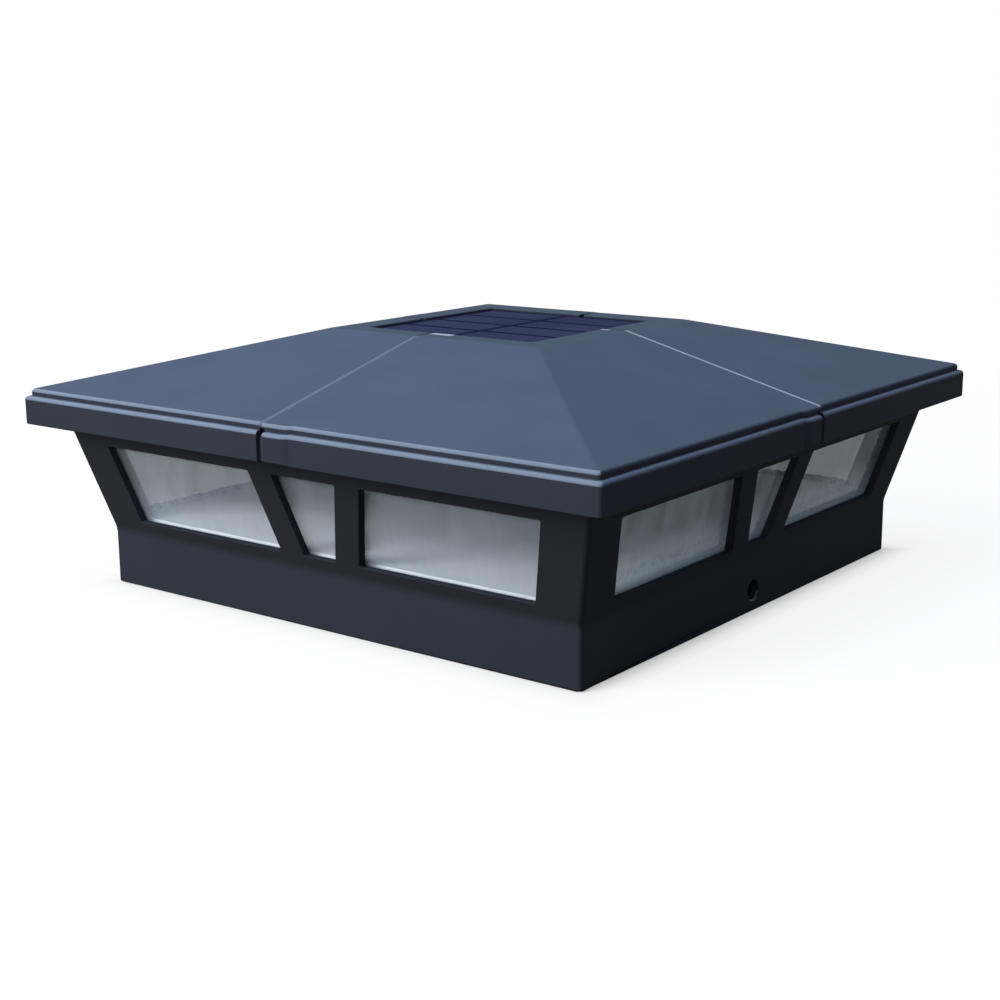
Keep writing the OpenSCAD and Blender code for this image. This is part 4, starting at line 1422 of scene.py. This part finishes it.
@dataclass
class Camera:
    """The photograph's view: its direction, its place and its lens, for a square picture."""

    azimuth: float = 37.514
    elevation: float = 13.013
    roll: float = -0.410
    distance: float = 457.65
    to_the_right: float = -3.15
    above: float = 17.62
    nearest: float = 10.0
    lens: float = 60.246
    film: float = 36.0

    def build(self) -> None:
        """Set up the camera."""
        back = towards(self.azimuth, self.elevation)
        right = (-back).cross(Vector((0, 0, 1))).normalized()
        up = right.cross(-back)
        place = back * self.distance + right * self.to_the_right + up * self.above
        lean = math.radians(self.roll)
        across = right * math.cos(lean) + up * math.sin(lean)
        top = up * math.cos(lean) - right * math.sin(lean)
        data = bpy.data.cameras.new("photograph_view")
        data.lens = self.lens
        data.sensor_width = self.film
        data.clip_start = self.nearest * MM
        camera = add_object("photograph_view", data)
        camera.matrix_world = Matrix((across, top, back)).transposed().to_4x4()
        camera.location = place * MM
        bpy.context.scene.camera = camera


@dataclass
class Studio:
    """A white floor and surround, soft lamps and the camera.

    The floor glows for the camera by its distance from the light's middle: it is dark up to
    dark_to, reaches the glow at shade_from and full white at white_from.
    """

    surround: str = "#F4F8FF"
    white: str = "#FFFFFF"
    bounce: str = "#969696"
    floor_side: float = 6000.0
    floor_drop: float = 0.2
    dark_to: float = 68.0
    shade_from: float = 80.0
    white_from: float = 420.0
    glow: float = 0.86
    world_level: float = 0.3
    lamps: tuple[Lamp, ...] = (
        Lamp("left_key", azimuth=-15, elevation=34, side=500, watts=5.2),
        Lamp("low_key", azimuth=-25, elevation=12, side=500, watts=5.6),
        Lamp("overhead", azimuth=20, elevation=85, side=700, watts=4.95, colour="#E4ECFC"),
    )

    def seen(self, tree: Tree) -> Socket:
        """Tell what is looked at from what gives light.

        Args:
            tree: The tree that takes the nodes.

        Returns:
            A value of 1 for what the camera, a reflection or a pane sees, and 0 for light.
        """
        rays = add_node(tree, "LightPath").outputs
        reflected = add_math(tree, "MAXIMUM", rays["Is Camera Ray"], rays["Is Glossy Ray"])
        return add_math(tree, "MAXIMUM", reflected, rays["Is Transmission Ray"])

    def build_world(self) -> None:
        """Light the scene from all round, and show white."""
        world = bpy.data.worlds.new("white_surround")
        world.use_nodes = True
        tree = world.node_tree
        tree.nodes.clear()
        light = add_node(tree, "Background", {"Color": linear(self.surround), "Strength": self.world_level})
        white = add_node(tree, "Background", {"Color": linear(self.white), "Strength": 1.0})
        mix = add_node(tree, "MixShader", {0: self.seen(tree), 1: light.outputs[0], 2: white.outputs[0]})
        add_node(tree, "OutputWorld", {"Surface": mix.outputs[0]})
        bpy.context.scene.world = world

    def floor_glow(self, tree: Tree) -> Socket:
        """How strongly the floor glows, from its distance along the nearer axis to the middle.

        Args:
            tree: The floor's tree.

        Returns:
            The strength, from 0 to 1.
        """
        place = add_node(tree, "TexCoord").outputs["Object"]
        size = add_node(tree, "VectorMath", {0: place}, operation="ABSOLUTE").outputs["Vector"]
        axes = add_node(tree, "SeparateXYZ", {"Vector": size}).outputs
        ramp = add_node(tree, "ValToRGB", {"Fac": add_math(tree, "MAXIMUM", axes["X"], axes["Y"])})
        stops = ramp.color_ramp.elements
        stops[0].position = self.dark_to * MM
        stops[0].color = (0.0, 0.0, 0.0, 1.0)
        stops[1].position = self.white_from * MM
        stops[1].color = (1.0, 1.0, 1.0, 1.0)
        stops.new(self.shade_from * MM).color = (self.glow, self.glow, self.glow, 1.0)
        return ramp.outputs["Color"]

    def build_floor(self) -> None:
        """Lay a floor that looks white, keeps a trace of shadow and stays dark under the light.

        It bounces light as grey paper does, so that the sides keep their depth.
        """
        material = bpy.data.materials.new("white_paper_floor")
        material.use_nodes = True
        tree = material.node_tree
        tree.nodes.clear()
        seen = self.seen(tree)
        tones = {MIX_SHARE: seen, MIX_FIRST: linear(self.bounce), MIX_SECOND: linear(self.white)}
        tone = add_node(tree, "Mix", tones, data_type="RGBA").outputs[MIX_RESULT]
        paper = add_node(tree, "BsdfDiffuse", {"Color": tone}).outputs[0]
        glow = add_node(tree, "Emission", {"Color": linear(self.white), "Strength": 1.0}).outputs[0]
        share = add_math(tree, "MULTIPLY", seen, self.floor_glow(tree))
        mix = add_node(tree, "MixShader", {0: share, 1: paper, 2: glow})
        add_node(tree, "OutputMaterial", {"Surface": mix.outputs[0]})
        bm = bmesh.new()
        bmesh.ops.create_grid(bm, x_segments=1, y_segments=1, size=self.floor_side / 2 * MM)
        mesh = bpy.data.meshes.new("paper_floor")
        bm.to_mesh(mesh)
        bm.free()
        mesh.materials.append(material)
        floor = add_object("paper_floor", mesh)
        floor.location.z = -self.floor_drop * MM

    def build(self) -> None:
        """Build the surround, the floor, the lamps and the camera."""
        bpy.context.scene.view_settings.view_transform = "Standard"
        self.build_world()
        self.build_floor()
        for lamp in self.lamps:
            lamp.build()
        Camera().build()


def main() -> None:
    """Dress the light and set up its picture."""
    logging.basicConfig(level=logging.INFO, format="%(name)s: %(message)s")
    slots = {part["node"]: part["material_slot"] for part in frame["record"]["subparts"]}
    shop = Workshop(frame["nodes"], slots, PaintShop())
    Studio().build()
    LanternBody().build(shop)
    Roof().build(shop)
    SolarModule().build(shop)


if __name__ == "__main__":
    main()
